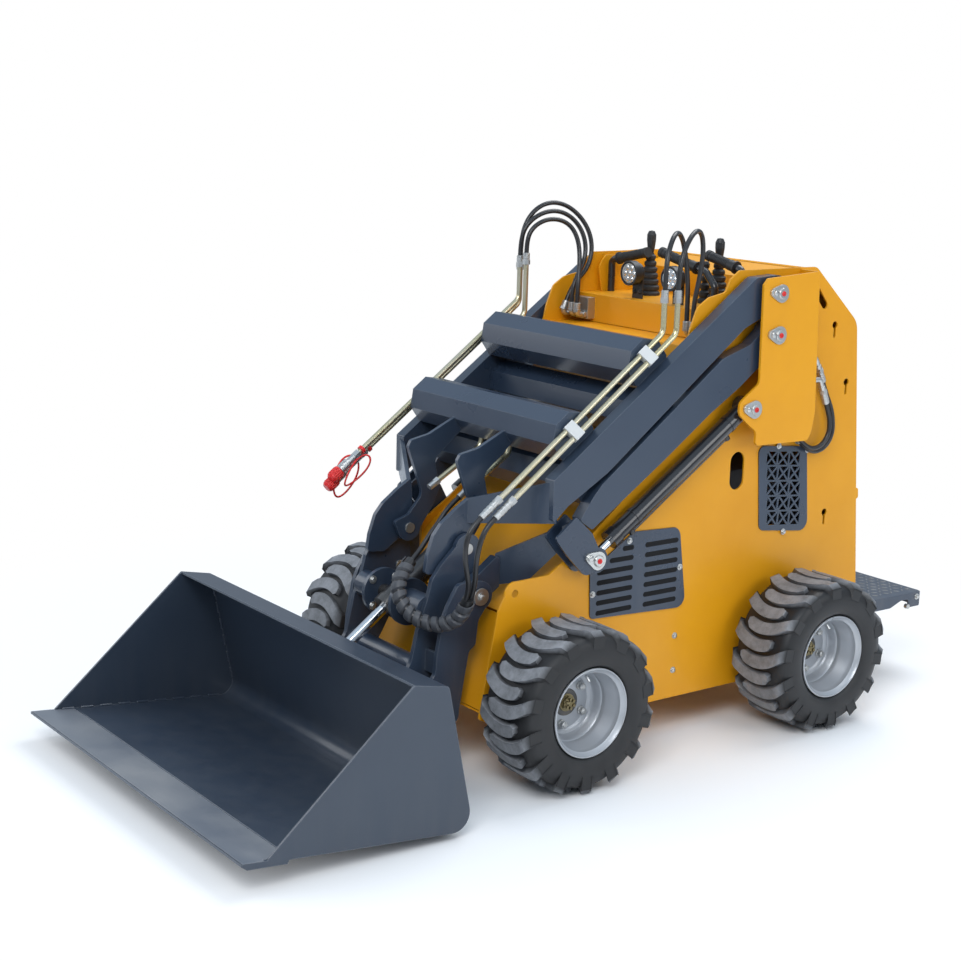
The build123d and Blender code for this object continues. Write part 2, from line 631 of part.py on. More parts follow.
OUTER_HEAD_CORNERS = [
    (HEAD_LOW_PIN[0] - 16, HEAD_LOW_PIN[1] + 44, 16),
    (HEAD_LOW_PIN[0] - 70, HEAD_LOW_PIN[1] + 43, 20),
    (HEAD_LOW_PIN[0] - 104, HEAD_LOW_PIN[1] - 13, 30),
    (HEAD_LOW_PIN[0] - 119, HEAD_LOW_PIN[1] - 49, 40),
    (HEAD_LOW_PIN[0] - 137, HEAD_LOW_PIN[1] - 147, 40),
    (HEAD_LOW_PIN[0] - 141, HEAD_LOW_PIN[1] - 202, 30),
    (TILT_PIN[0] - 42, TILT_PIN[1] + 24, 30),
    (TILT_PIN[0] - 30, TILT_PIN[1] - 44, 34),
    (TILT_PIN[0] + 136, TILT_PIN[1] - 44, 20),
    (HEAD_LOW_PIN[0] - 59, HEAD_LOW_PIN[1] - 307, 60),
    (HEAD_LOW_PIN[0] - 31, HEAD_LOW_PIN[1] - 147, 20),
    (HEAD_LOW_PIN[0] - 10, HEAD_LOW_PIN[1] - 138, 20),
    (HEAD_LOW_PIN[0] - 3, HEAD_LOW_PIN[1] - 67, 40),
    (HEAD_LOW_PIN[0] + 36, HEAD_LOW_PIN[1] - 16, 20),
]
HEAD_WEBS = [
    (HEAD_LOW_PIN[0] - 128, HEAD_LOW_PIN[1] - 172, 60),
    (HEAD_LOW_PIN[0] - 72, HEAD_LOW_PIN[1] - 270, 80),
]
with BuildPart() as head:
    with BuildSketch(Plane.YZ.offset(INNER_HEAD_X)):
        with BuildLine():
            rounded(INNER_HEAD_CORNERS)
        make_face()
        with Locations(HEAD_TOP_PIN, HEAD_LOW_PIN):
            Circle(HEAD_BOSS_R)
        with Locations(HEAD_TOP_PIN, HEAD_LOW_PIN, TILT_PIN):
            Circle(PIN_R, mode=Mode.SUBTRACT)
    extrude(amount=HEAD_T)
    with BuildSketch(Plane.YZ.offset(OUTER_HEAD_X)):
        with BuildLine():
            rounded(OUTER_HEAD_CORNERS)
        make_face()
        with Locations(HEAD_LOW_PIN):
            Circle(HEAD_BOSS_R)
        with Locations(HEAD_LOW_PIN, TILT_PIN):
            Circle(PIN_R, mode=Mode.SUBTRACT)
    extrude(amount=HEAD_T)
    for y, z, tall in HEAD_WEBS:
        with BuildSketch(Plane.YZ.offset(INNER_HEAD_X + HEAD_T)):
            with Locations((y, z)):
                Rectangle(10, tall)
        extrude(amount=OUTER_HEAD_X - INNER_HEAD_X - HEAD_T)
    mirror(about=Plane.YZ)
    with BuildSketch(Plane.YZ.offset(-INNER_HEAD_X)):
        with Locations(HEAD_TUBE):
            Circle(HEAD_TUBE_R)
    extrude(amount=2 * INNER_HEAD_X)
head.part.label = "head"
export_step(head.part, "parts/head.step")

with BuildPart() as head_pins:
    with BuildSketch(Plane.YZ.offset(LEVER_X - 4)):
        with Locations(HEAD_TOP_PIN):
            Circle(PIN_R)
    extrude(amount=INNER_HEAD_X + HEAD_T + 4 - LEVER_X + 4)
    with BuildSketch(Plane.YZ.offset(INNER_HEAD_X - 4)):
        with Locations(HEAD_LOW_PIN, TILT_PIN):
            Circle(PIN_R)
    extrude(amount=OUTER_HEAD_X + HEAD_T + 4 - INNER_HEAD_X + 4)
    mirror(about=Plane.YZ)
head_pins.part.label = "head_pins"
export_step(head_pins.part, "parts/head_pins.step")

# trunnion blocks on the inner head plates hold the tilt barrel
TRUNNION_IN_X = 60.0
TRUNNION_FLANGE_T = 12.0
TRUNNION_FLANGE_R = 66.0
TRUNNION_BOSS_R = 38.0
with BuildPart() as trunnion_blocks:
    for x, radius, thick in (
        (TRUNNION_IN_X, TRUNNION_FLANGE_R, TRUNNION_FLANGE_T),
        (TRUNNION_IN_X + TRUNNION_FLANGE_T, TRUNNION_BOSS_R,
         INNER_HEAD_X - TRUNNION_IN_X - TRUNNION_FLANGE_T),
    ):
        with BuildSketch(Plane.YZ.offset(x)):
            with Locations(TRUNNION):
                Circle(radius)
            with Locations(TRUNNION):
                Circle(TRUNNION_R + PIN_GAP, mode=Mode.SUBTRACT)
        extrude(amount=thick)
    mirror(about=Plane.YZ)
trunnion_blocks.part.label = "trunnion_blocks"
export_step(trunnion_blocks.part, "parts/trunnion_blocks.step")

# ---- tilt cylinder: the barrel swings on its trunnions, the rod's eye meets the hitch ----
TILT_SPAN = Vector(0, TILT_EYE[0] - TRUNNION[0], TILT_EYE[1] - TRUNNION[1])
TILT_LINE = TILT_SPAN.normalized()
TILT_ORIGIN = Vector(0, *TRUNNION)
TILT_FRONT = 48.0
TILT_BARREL_LEN = 304.0
TILT_BORE_LEN = 290.0
TILT_ROD_LEN = 370.0
TILT_PORT = 57.0
EYE_HALF_W = 18.0
EYE_R = 26.0


def across_tilt(distance):
    """The plane square to the tilt cylinder, this far from its trunnions towards the eye."""
    return Plane(origin=TILT_ORIGIN + TILT_LINE * distance, x_dir=(1, 0, 0), z_dir=-TILT_LINE)


with BuildPart() as tilt_barrel:
    for start, radius, length in (
        (TILT_FRONT, TILT_BARREL_R, TILT_BARREL_LEN),
        (TILT_FRONT, TILT_BARREL_R + 3, 24.0),
        (TILT_FRONT - TILT_BARREL_LEN + 20, TILT_BARREL_R + 2, 20.0),
    ):
        with BuildSketch(across_tilt(start)):
            Circle(radius)
        extrude(amount=length)
    port = TILT_ORIGIN - TILT_LINE * TILT_PORT
    with BuildSketch(Plane(origin=port, z_dir=TILT_LINE.cross(Vector(1, 0, 0)))):
        Circle(12)
    extrude(amount=-TILT_BARREL_R - 38)
    with BuildSketch(across_tilt(TILT_FRONT)):
        Circle(TILT_ROD_R + ROD_GAP)
    extrude(amount=TILT_BORE_LEN, mode=Mode.SUBTRACT)
    for side in (1, -1):
        with BuildSketch(Plane.YZ.offset(side * (TILT_ROD_R + 8))):
            with Locations(TRUNNION):
                Circle(TRUNNION_R)
        extrude(amount=side * (TRUNNION_IN_X + 40 - TILT_ROD_R))
tilt_barrel.part.label = "tilt_barrel"
export_step(tilt_barrel.part, "parts/tilt_barrel.step")

with BuildPart() as tilt_rod:
    with BuildSketch(across_tilt(TILT_SPAN.length - 18)):
        Circle(TILT_ROD_R)
    extrude(amount=TILT_ROD_LEN - 18)
    with BuildSketch(Plane.YZ.offset(-EYE_HALF_W)):
        with Locations(TILT_EYE):
            Circle(EYE_R)
    extrude(amount=2 * EYE_HALF_W)
    with BuildSketch(Plane.YZ.offset(-EYE_HALF_W)):
        with Locations(TILT_EYE):
            Circle(PIN_R - 2)
    extrude(amount=2 * EYE_HALF_W, mode=Mode.SUBTRACT)
tilt_rod.part.label = "tilt_rod"
export_step(tilt_rod.part, "parts/tilt_rod.step")

# ---- bucket: one bent sheet, two side plates and a cutting edge ----
BUCKET_HALF_W = 609.0
BUCKET_T = 6.0
BUCKET_LIP = Vector(TILT_PIN[0] - 740, 78)
BUCKET_HEEL = Vector(TILT_PIN[0] - 84, 15)
BACK_UP = Vector(-68, 316).normalized()
BACK_OUT = Vector(BACK_UP.Y, -BACK_UP.X)
BUCKET_TOP = BUCKET_HEEL + BACK_UP * 401
BUCKET_FLANGE = BUCKET_TOP + Vector(-101, 20)
HEEL_ROUND = 48.0
TOP_ROUND = 12.0
EDGE_T = 10.0
EDGE_W = 127.0
FLOOR_LINE = (BUCKET_HEEL - BUCKET_LIP).normalized()
FLOOR_DOWN = Vector(FLOOR_LINE.Y, -FLOOR_LINE.X)
SIDE_FOOT = BUCKET_LIP + FLOOR_LINE * 62
with BuildPart() as bucket:
    with BuildSketch(Plane.YZ.offset(-BUCKET_HALF_W)):
        with BuildLine():
            FilletPolyline(BUCKET_LIP, BUCKET_HEEL, BUCKET_TOP, BUCKET_FLANGE, radius=[HEEL_ROUND, TOP_ROUND])
            offset(amount=BUCKET_T, side=Side.LEFT)
        make_face()
        Polygon(
            BUCKET_LIP, BUCKET_LIP + FLOOR_LINE * EDGE_W,
            BUCKET_LIP + FLOOR_LINE * (EDGE_W - 4) + FLOOR_DOWN * EDGE_T,
            BUCKET_LIP + FLOOR_LINE * 16 + FLOOR_DOWN * EDGE_T, align=None,
        )
    extrude(amount=2 * BUCKET_HALF_W)
    with BuildSketch(Plane.YZ.offset(BUCKET_HALF_W - BUCKET_T)):
        with BuildLine():
            FilletPolyline(
                SIDE_FOOT, BUCKET_HEEL, BUCKET_TOP, BUCKET_FLANGE,
                radius=[6, HEEL_ROUND, TOP_ROUND, 8], close=True,
            )
        make_face()
    extrude(amount=BUCKET_T)
    mirror(about=Plane.YZ)
bucket.part.label = "bucket"
export_step(bucket.part, "parts/bucket.step")

# ---- hitch: a plate on the bucket's back with lugs for the tilt pin and the rod's eye ----
HITCH_HALF_W = 260.0
HITCH_T = 8.0
HITCH_FOOT = BUCKET_HEEL + BACK_UP * 52
LUG_X = INNER_HEAD_X + HEAD_T + HEAD_GAP
LUG_T = OUTER_HEAD_X - HEAD_GAP - LUG_X
LUG_R = 34.0
EYE_LUG_X = EYE_HALF_W + 4
EYE_LUG_T = 10.0
EYE_LUG_R = 28.0


def off_hitch(along, out):
    """A side-view point on the hitch, measured up its plate and out from the bucket's back."""
    return HITCH_FOOT + BACK_UP * along + BACK_OUT * out


with BuildPart() as hitch:
    with BuildSketch(Plane.YZ.offset(-HITCH_HALF_W)):
        Polygon(
            off_hitch(0, 0), off_hitch(0, HITCH_T), off_hitch(306, HITCH_T), off_hitch(306, 0), align=None,
        )
    extrude(amount=2 * HITCH_HALF_W)
    with BuildSketch(Plane.YZ.offset(LUG_X)):
        Polygon(
            off_hitch(40, HITCH_T), off_hitch(88, 92), off_hitch(150, 92), off_hitch(214, HITCH_T), align=None,
        )
        with Locations(TILT_PIN):
            Circle(LUG_R)
        with Locations(TILT_PIN):
            Circle(PIN_R + PIN_GAP, mode=Mode.SUBTRACT)
    extrude(amount=LUG_T)
    with BuildSketch(Plane.YZ.offset(EYE_LUG_X)):
        Polygon(
            off_hitch(180, HITCH_T), off_hitch(242, 78), off_hitch(276, 78), off_hitch(304, HITCH_T), align=None,
        )
        with Locations(TILT_EYE):
            Circle(EYE_LUG_R)
    extrude(amount=EYE_LUG_T)
    mirror(about=Plane.YZ)
hitch.part.label = "hitch"
export_step(hitch.part, "parts/hitch.step")

# ---- lift cylinders: a barrel on the tower's lowest pin, a rod to the link's bracket ----
LIFT_SPAN = Vector(0, ROD_PIN[0] - LIFT_PIN[0], ROD_PIN[1] - LIFT_PIN[1])
LIFT_LINE = LIFT_SPAN.normalized()
LIFT_X = ARM_IN_X + ARM_W / 2
LIFT_ORIGIN = Vector(LIFT_X, *LIFT_PIN)
LIFT_EYE_R = 32.0
LIFT_FRONT = LIFT_SPAN.length - 75
FEED_R = 4.5
FEED_DROP = 33.0


def across_lift(distance, drop=0.0):
    """The plane square to the lift cylinder, this far from its pin towards the rod, and lowered."""
    down = LIFT_LINE.cross(Vector(1, 0, 0))
    return Plane(origin=LIFT_ORIGIN + LIFT_LINE * distance + down * drop, x_dir=(1, 0, 0), z_dir=-LIFT_LINE)


with BuildPart() as lift_barrels:
    for start, radius, length in (
        (LIFT_FRONT, LIFT_BARREL_R, LIFT_FRONT - 20),
        (LIFT_FRONT, LIFT_BARREL_R + 3, 30.0),
    ):
        with BuildSketch(across_lift(start)):
            Circle(radius)
        extrude(amount=length)
    with BuildSketch(Plane.YZ.offset(ARM_IN_X)):
        with Locations(LIFT_PIN):
            Circle(LIFT_EYE_R)
    extrude(amount=ARM_W)
    with BuildSketch(Plane.YZ.offset(ARM_IN_X)):
        with Locations(LIFT_PIN):
            Circle(PIN_R + PIN_GAP)
    extrude(amount=ARM_W, mode=Mode.SUBTRACT)
    with BuildSketch(across_lift(LIFT_FRONT)):
        Circle(LIFT_ROD_R + ROD_GAP)
    extrude(amount=LIFT_FRONT - 55, mode=Mode.SUBTRACT)
    mirror(about=Plane.YZ)
lift_barrels.part.label = "lift_barrels"
export_step(lift_barrels.part, "parts/lift_barrels.step")

with BuildPart() as lift_rods:
    with BuildSketch(across_lift(LIFT_SPAN.length - 18)):
        Circle(LIFT_ROD_R)
    extrude(amount=440)
    with BuildSketch(Plane.YZ.offset(LIFT_X - ARM_W / 2 + 3)):
        with Locations(ROD_PIN):
            Circle(EYE_R - 1)
    extrude(amount=ARM_W - 6)
    with BuildSketch(Plane.YZ.offset(LIFT_X - ARM_W / 2 + 3)):
        with Locations(ROD_PIN):
            Circle(PIN_R)
    extrude(amount=ARM_W - 6, mode=Mode.SUBTRACT)
    mirror(about=Plane.YZ)
lift_rods.part.label = "lift_rods"
export_step(lift_rods.part, "parts/lift_rods.step")

# ---- operator's step, hinged in two brackets behind the rear panel ----
STEP_HALF_W = 300.0
STEP_T = 6.0
STEP_TOP = STEP_PIN[1] + 22
STEP_LEN = 306.0
STEP_GAP = 5.0
BRACKET_T = 8.0
STEP_FLANGE = [
    (STEP_PIN[0] - 14, STEP_PIN[1] - 10, 6),
    (STEP_PIN[0], STEP_PIN[1] - 18, 8),
    (STEP_PIN[0] + 166, STEP_PIN[1] - 18, 20),
    (STEP_PIN[0] + 214, STEP_PIN[1], 20),
    (STEP_PIN[0] + 250, STEP_PIN[1], 5),
    (STEP_PIN[0] + 257, STEP_PIN[1] - 28, 4),
    (STEP_PIN[0] + STEP_LEN, STEP_PIN[1] - 28, 4),
    (STEP_PIN[0] + STEP_LEN, STEP_TOP, 4),
    (STEP_PIN[0] - 12, STEP_TOP, 6),
]
with BuildPart() as step_platform:
    with BuildSketch(Plane.YZ.offset(STEP_HALF_W - STEP_T)):
        with BuildLine():
            rounded(STEP_FLANGE)
        make_face()
        with Locations(STEP_PIN):
            Circle(STEP_PIN_R + PIN_GAP, mode=Mode.SUBTRACT)
    extrude(amount=STEP_T)
    mirror(about=Plane.YZ)
    with BuildSketch(Plane.YZ.offset(-STEP_HALF_W + STEP_T)):
        with BuildLine():
            Polyline(
                (STEP_PIN[0], STEP_TOP), (STEP_PIN[0] + STEP_LEN, STEP_TOP),
                (STEP_PIN[0] + STEP_LEN, STEP_PIN[1] - 28),
            )
            offset(amount=STEP_T, side=Side.RIGHT)
        make_face()
    extrude(amount=2 * (STEP_HALF_W - STEP_T))
step_platform.part.label = "step_platform"
export_step(step_platform.part, "parts/step_platform.step")

STEP_BRACKET = [
    (TAIL_Y - 4.8, FLOOR_Z + 13),
    (STEP_PIN[0] + 16, STEP_PIN[1] - 14),
    (STEP_PIN[0] + 16, STEP_PIN[1] + 16),
    (STEP_PIN[0] - 2, STEP_PIN[1] + 24),
    (TAIL_Y - 24.8, 368),
]
with BuildPart() as step_brackets:
    with BuildSketch(Plane.YZ.offset(STEP_HALF_W + STEP_GAP)):
        Polygon(*STEP_BRACKET, align=None)
    extrude(amount=BRACKET_T)
    with BuildSketch(Plane.YZ.offset(STEP_HALF_W - STEP_T - 2)):
        with Locations(STEP_PIN):
            Circle(STEP_PIN_R)
    extrude(amount=STEP_T + 2 + STEP_GAP)
    mirror(about=Plane.YZ)
step_brackets.part.label = "step_brackets"
export_step(step_brackets.part, "parts/step_brackets.step")

# ---- console: two round lamps on brackets, levers in ribbed boots, and grips on bent tubes ----
LAMP_X = 90.0
LAMP_Z = CONSOLE_Z + 77
LAMP_Y = CONSOLE_Y + 7
BEZEL_R = 37.0
BEZEL_DEEP = 24.0
with BuildPart() as lamps:
    for start, radius, deep in ((0, BEZEL_R, BEZEL_DEEP), (BEZEL_DEEP, BEZEL_R - 7, 14.0)):
        with BuildSketch(Plane(origin=(LAMP_X, LAMP_Y + start, LAMP_Z), x_dir=(1, 0, 0), z_dir=(0, 1, 0))):
            Circle(radius)
        extrude(amount=deep)
    with BuildSketch(Plane(origin=(LAMP_X, LAMP_Y, LAMP_Z), x_dir=(1, 0, 0), z_dir=(0, 1, 0))):
        Circle(BEZEL_R - 4)
    extrude(amount=4, mode=Mode.SUBTRACT)
    with Locations((LAMP_X, LAMP_Y + BEZEL_DEEP + 14, CONSOLE_Z)):
        Box(44, 4, LAMP_Z - CONSOLE_Z, align=(Align.CENTER, Align.MIN, Align.MIN))
    mirror(about=Plane.YZ)
lamps.part.label = "lamps"
export_step(lamps.part, "parts/lamps.step")

LEVER_Y = REAR_AXLE_Y - 150
# columns: x, radius at the foot, radius at the top, ribs, height
BOOTS = [(150, 33, 13, 7, 130.0), (-150, 33, 13, 7, 130.0), (95, 20, 9, 4, 90.0)]
with BuildPart() as joystick_boots:
    for x, foot_r, top_r, ribs, height in BOOTS:
        profile = [(0, 0)]
        for rib in range(ribs):
            outer = foot_r + (top_r - foot_r) * rib / ribs
            profile.append((outer, height * rib / ribs))
            profile.append((outer, height * (rib + 0.45) / ribs))
            profile.append((outer - 6, height * (rib + 0.75) / ribs))
        profile.append((top_r - 3, height))
        profile.append((0, height))
        with BuildSketch(Plane(origin=(x, LEVER_Y, CONSOLE_Z), x_dir=(1, 0, 0), z_dir=(0, -1, 0))):
            Polygon(*profile, align=None)
        revolve(axis=Axis((x, LEVER_Y, CONSOLE_Z), (0, 0, 1)))
joystick_boots.part.label = "joystick_boots"
export_step(joystick_boots.part, "parts/joystick_boots.step")

GRIP_PROFILE = [(0, 0), (8, 0), (11, 12), (14, 38), (14, 54), (9, 65), (0, 67)]
KNOB_PROFILE = [(0, 0), (5, 0), (5, 10), (11, 16), (12, 26), (7, 34), (0, 35)]
with BuildPart() as joysticks:
    for (x, foot_r, top_r, ribs, height), profile in zip(BOOTS, (GRIP_PROFILE, GRIP_PROFILE, KNOB_PROFILE)):
        top = (x, LEVER_Y, CONSOLE_Z + height)
        with BuildSketch(Plane(origin=top, x_dir=(1, 0, 0), z_dir=(0, -1, 0))):
            Polygon(*profile, align=None)
        revolve(axis=Axis(top, (0, 0, 1)))
joysticks.part.label = "joysticks"
export_step(joysticks.part, "parts/joysticks.step")

# columns: the bent tube's points, and the end of the grip on it
GRIP_TUBE_R = 11.0
GRIP_R = 15.0
HANDLES = [
    ([(-286, CONSOLE_Y + 109, CONSOLE_Z), (-286, CONSOLE_Y + 109, 1322.75), (-253, CONSOLE_Y + 109, 1330)],
     (-121, CONSOLE_Y + 109, 1359)),
    ([(286, CONSOLE_Y + 109, CONSOLE_Z), (286, CONSOLE_Y + 109, 1340.8), (262, CONSOLE_Y + 109, 1346)],
     (142, CONSOLE_Y + 109, 1372)),
    ([(205, CONSOLE_Y + 81, CONSOLE_Z), (205, CONSOLE_Y + 81, 1287), (166, CONSOLE_Y + 81, 1326.3),
      (130, CONSOLE_Y + 81, 1334)], (-29, CONSOLE_Y + 81, 1368)),
]
with BuildPart() as console_tubes:
    for points, grip_end in HANDLES:
        start = Vector(*points[0])
        with BuildLine():
            FilletPolyline(*points, radius=18)
        with BuildSketch(Plane(origin=start, z_dir=Vector(*points[1]) - start)):
            Circle(GRIP_TUBE_R)
        sweep()
console_tubes.part.label = "console_tubes"
export_step(console_tubes.part, "parts/console_tubes.step")

with BuildPart() as hand_grips:
    for points, grip_end in HANDLES:
        along = Vector(*grip_end) - Vector(*points[-1])
        grip_plane = Plane(origin=points[-1], z_dir=along).offset(FACE_GAP)
        for radius, length in ((GRIP_R + 4, 5.0), (GRIP_R - 1, along.length), (GRIP_R + 1, 30.0)):
            with BuildSketch(grip_plane):
                Circle(radius)
            extrude(amount=length)
        with BuildSketch(grip_plane.offset(along.length - 12)):
            Circle(GRIP_R + 1)
        extrude(amount=12)
hand_grips.part.label = "hand_grips"
export_step(hand_grips.part, "parts/hand_grips.step")

# ---- steel pipes on the arm ----
PIPE_R = 8.0
PIPE_BEND = 32.0


def over_arm(x, y, above):
    """The point at this x and y, this far above the arm's line of pins."""
    base = by_arm(HEAD_TOP_PIN, 0, above)
    return (x, y, base[1] + (y - base[0]) * ARM_LINE.Y / ARM_LINE.X)


def at_arm(x, forward, above):
    """A point measured by the arm from its head pin, at this x."""
    return (x, *by_arm(HEAD_TOP_PIN, forward, above))


# columns: x, height above the pins' line, y of the riser, top of the riser, front end before the head pin
ARM_PIPES = [
    (346, 160, FRONT_AXLE_Y + 383, 1270, -83),
    (362, 138, FRONT_AXLE_Y + 417, 1270, -109),
    (-346, 158, FRONT_AXLE_Y + 416, 1305, -83),
    (-362, 138, FRONT_AXLE_Y + 430, 1295, -109),
]
SHORT_PIPE = [
    (-318, FRONT_AXLE_Y + 418, 1315), (-318, FRONT_AXLE_Y + 418, 1164.6),
    (-318, *by_arm(UPPER_PIN, ARM_TUBES[0][0] - TUBE_FLAT / 2 - FACE_GAP, ARM_TUBES[0][1])),
]
TUBE_FACE = [
    by_arm(UPPER_PIN, ARM_TUBES[1][0] + 0.7071 * out, ARM_TUBES[1][1] - 0.7071 * out)
    for out in (TUBE_FLAT / 2 + 26, TUBE_FLAT / 2 + FACE_GAP)
]
INNER_PIPES = [
    [(-60, FRONT_AXLE_Y - 73, 748), (-60, *TUBE_FACE[0]), (-60, *TUBE_FACE[1])],
    [(72, FRONT_AXLE_Y - 65, 745), (72, *TUBE_FACE[0]), (72, *TUBE_FACE[1])],
]
PIPES = [
    [(x, riser, top), over_arm(x, riser, above), at_arm(x, front, above)]
    for x, above, riser, top, front in ARM_PIPES
] + [SHORT_PIPE] + INNER_PIPES
with BuildPart() as arm_pipes:
    for points in PIPES:
        start = Vector(*points[0])
        with BuildLine():
            FilletPolyline(*points, radius=PIPE_BEND)
        with BuildSketch(Plane(origin=start, z_dir=Vector(*points[1]) - start)):
            Circle(PIPE_R)
        sweep()
arm_pipes.part.label = "arm_pipes"
export_step(arm_pipes.part, "parts/arm_pipes.step")

# each clamp is a block bolted to the end face of a cross tube, its long side along the line between the pipes
CLAMP_LEN = 32.0
CLAMP_DEPTH = 24.0
CLAMP_PAST_PIPE = 11.0
with BuildPart() as pipe_clamps:
    for forward, above in ARM_TUBES:
        base = by_arm(UPPER_PIN, forward - CLAMP_LEN / 2, 0)
        for (upper, lower), side in (((ARM_PIPES[0], ARM_PIPES[1]), 1), ((ARM_PIPES[2], ARM_PIPES[3]), -1)):
            middle = ((upper[0] + lower[0]) / 2, (upper[1] + lower[1]) / 2)
            spread = Vector(lower[0] - upper[0], lower[1] - upper[1])
            lean = degrees(atan2(spread.Y, spread.X))
            with BuildSketch(Plane(origin=(0, *base), x_dir=(1, 0, 0), z_dir=ARM_DIR)):
                with Locations(middle):
                    Rectangle(spread.length + 2 * CLAMP_PAST_PIPE, CLAMP_DEPTH, rotation=lean)
                with Locations((side * (ARM_IN_X + FACE_GAP), middle[1])):
                    Rectangle(ARM_W, 4 * CLAMP_DEPTH, align=(Align.MAX if side > 0 else Align.MIN, Align.CENTER),
                              mode=Mode.SUBTRACT)
                with Locations((upper[0], upper[1]), (lower[0], lower[1])):
                    Circle(PIPE_R + 0.2, mode=Mode.SUBTRACT)
            extrude(amount=CLAMP_LEN)
pipe_clamps.part.label = "pipe_clamps"
export_step(pipe_clamps.part, "parts/pipe_clamps.step")

# fittings carry each pipe on to its hose: a nut, then a pressed sleeve
FITTING_LEN = 35.0
LONG_FITTING = 75.0
# columns: start point, direction, length
FITTINGS = [(PIPES[i][0], Vector(0, 0, 1), FITTING_LEN) for i in range(5)]
FITTINGS += [(PIPES[i][-1], ARM_DIR, LONG_FITTING) for i in range(2)]
INNER_WAY = [(Vector(*points[0]) - Vector(*points[1])).normalized() for points in INNER_PIPES]
FITTINGS += [(points[0], way, FITTING_LEN) for points, way in zip(INNER_PIPES, INNER_WAY)]
with BuildPart() as pipe_fittings:
    for start, way, length in FITTINGS:
        with BuildSketch(Plane(origin=start, z_dir=way)):
            RegularPolygon(12, 6)
        extrude(amount=14)
        with BuildSketch(Plane(origin=start, z_dir=way)):
            Circle(9.5)
        extrude(amount=length)
pipe_fittings.part.label = "pipe_fittings"
export_step(pipe_fittings.part, "parts/pipe_fittings.step")

# columns: radius, start along the coupler, length
COUPLER_STEPS = [(11, 0, 40), (15, 40, 45), (17, 85, 25)]
with BuildPart() as quick_couplers:
    for points in PIPES[2:4]:
        for radius, start, length in COUPLER_STEPS:
            with BuildSketch(Plane(origin=Vector(*points[-1]) + ARM_DIR * start, z_dir=ARM_DIR)):
                Circle(radius)
            extrude(amount=length)
quick_couplers.part.label = "quick_couplers"
export_step(quick_couplers.part, "parts/quick_couplers.step")

# ---- hose blocks: by the console, inside the left tower and behind it ----
PORT_Z = 1164.0
PORT_Y = CONSOLE_Y - 60
BLOCK_Y = CONSOLE_Y - 28
# columns: x, lean of the sleeve to the rear per unit of height
PORTS = [(-298, 0.45), (-271, 0), (-245, 0), (245, 0), (271, 0)]
HOSE_END_Z = 1200.0
SLEEVE_LEN = 24.0
TOWER_BLOCK = (REAR_AXLE_Y - 60, 877.0)
FLANGE_Y = REAR_AXLE_Y + 30.3
# columns: x, elbow points (y, z), then the sleeve's end (y, z)
REAR_ELBOWS = [
    (365, [(FLANGE_Y - 0.6, 1018), (FLANGE_Y + 47.5, 1018), (FLANGE_Y + 58, 994.3)], (FLANGE_Y + 80, 944)),
    (345, [(FLANGE_Y - 2.9, 1080), (FLANGE_Y + 44, 1080), (FLANGE_Y + 56.4, 1055.2)], (FLANGE_Y + 81, 1006)),
]
SLEEVES = [
    ((365, REAR_AXLE_Y - 40, 881), (365, REAR_AXLE_Y + 5, 845)),
    ((345, REAR_AXLE_Y - 40, 885.6), (345, REAR_AXLE_Y + 28, 832)),
]
with BuildPart() as bulkheads:
    for side in (1, -1):
        with Locations((side * 272, BLOCK_Y, PORT_Z - 14)):
            Box(80, CONSOLE_Y - BLOCK_Y, 65, align=(Align.CENTER, Align.MIN, Align.MIN))
    for x, lean in PORTS:
        way = Vector(0, lean, 1).normalized()
        foot = Vector(x, PORT_Y, HOSE_END_Z) - way * SLEEVE_LEN
        with BuildLine():
            FilletPolyline((x, BLOCK_Y, PORT_Z), (x, foot.Y, PORT_Z), (x, foot.Y, foot.Z + 3), radius=11)
        with BuildSketch(Plane(origin=(x, BLOCK_Y, PORT_Z), z_dir=(0, -1, 0))):
            Circle(8)
        sweep()
        with BuildSketch(Plane(origin=foot, z_dir=way)):
            Circle(10)
        extrude(amount=SLEEVE_LEN)
    with Locations((SIDE_X + 0.1, TOWER_BLOCK[0] - 20, TOWER_BLOCK[1] - 20)):
        Box(54, 40, 40, align=(Align.MIN, Align.MIN, Align.MIN))
    for x, elbow, sleeve_end in REAR_ELBOWS:
        points = [Vector(x, y, z) for y, z in elbow]
        with BuildLine():
            FilletPolyline(*points, radius=14)
        with BuildSketch(Plane(origin=points[0], z_dir=points[1] - points[0])):
            Circle(8)
        sweep()
        sleeve = Vector(x, *sleeve_end) - points[-1]
        with BuildSketch(Plane(origin=points[-1] - sleeve * 0.05, z_dir=sleeve)):
            Circle(10)
        extrude(amount=sleeve.length * 1.05)
    for start, end in SLEEVES:
        along = Vector(*end) - Vector(*start)
        with BuildSketch(Plane(origin=Vector(*start) - along.normalized() * 8, z_dir=along)):
            Circle(9)
        extrude(amount=along.length + 8)
bulkheads.part.label = "bulkheads"
export_step(bulkheads.part, "parts/bulkheads.step")

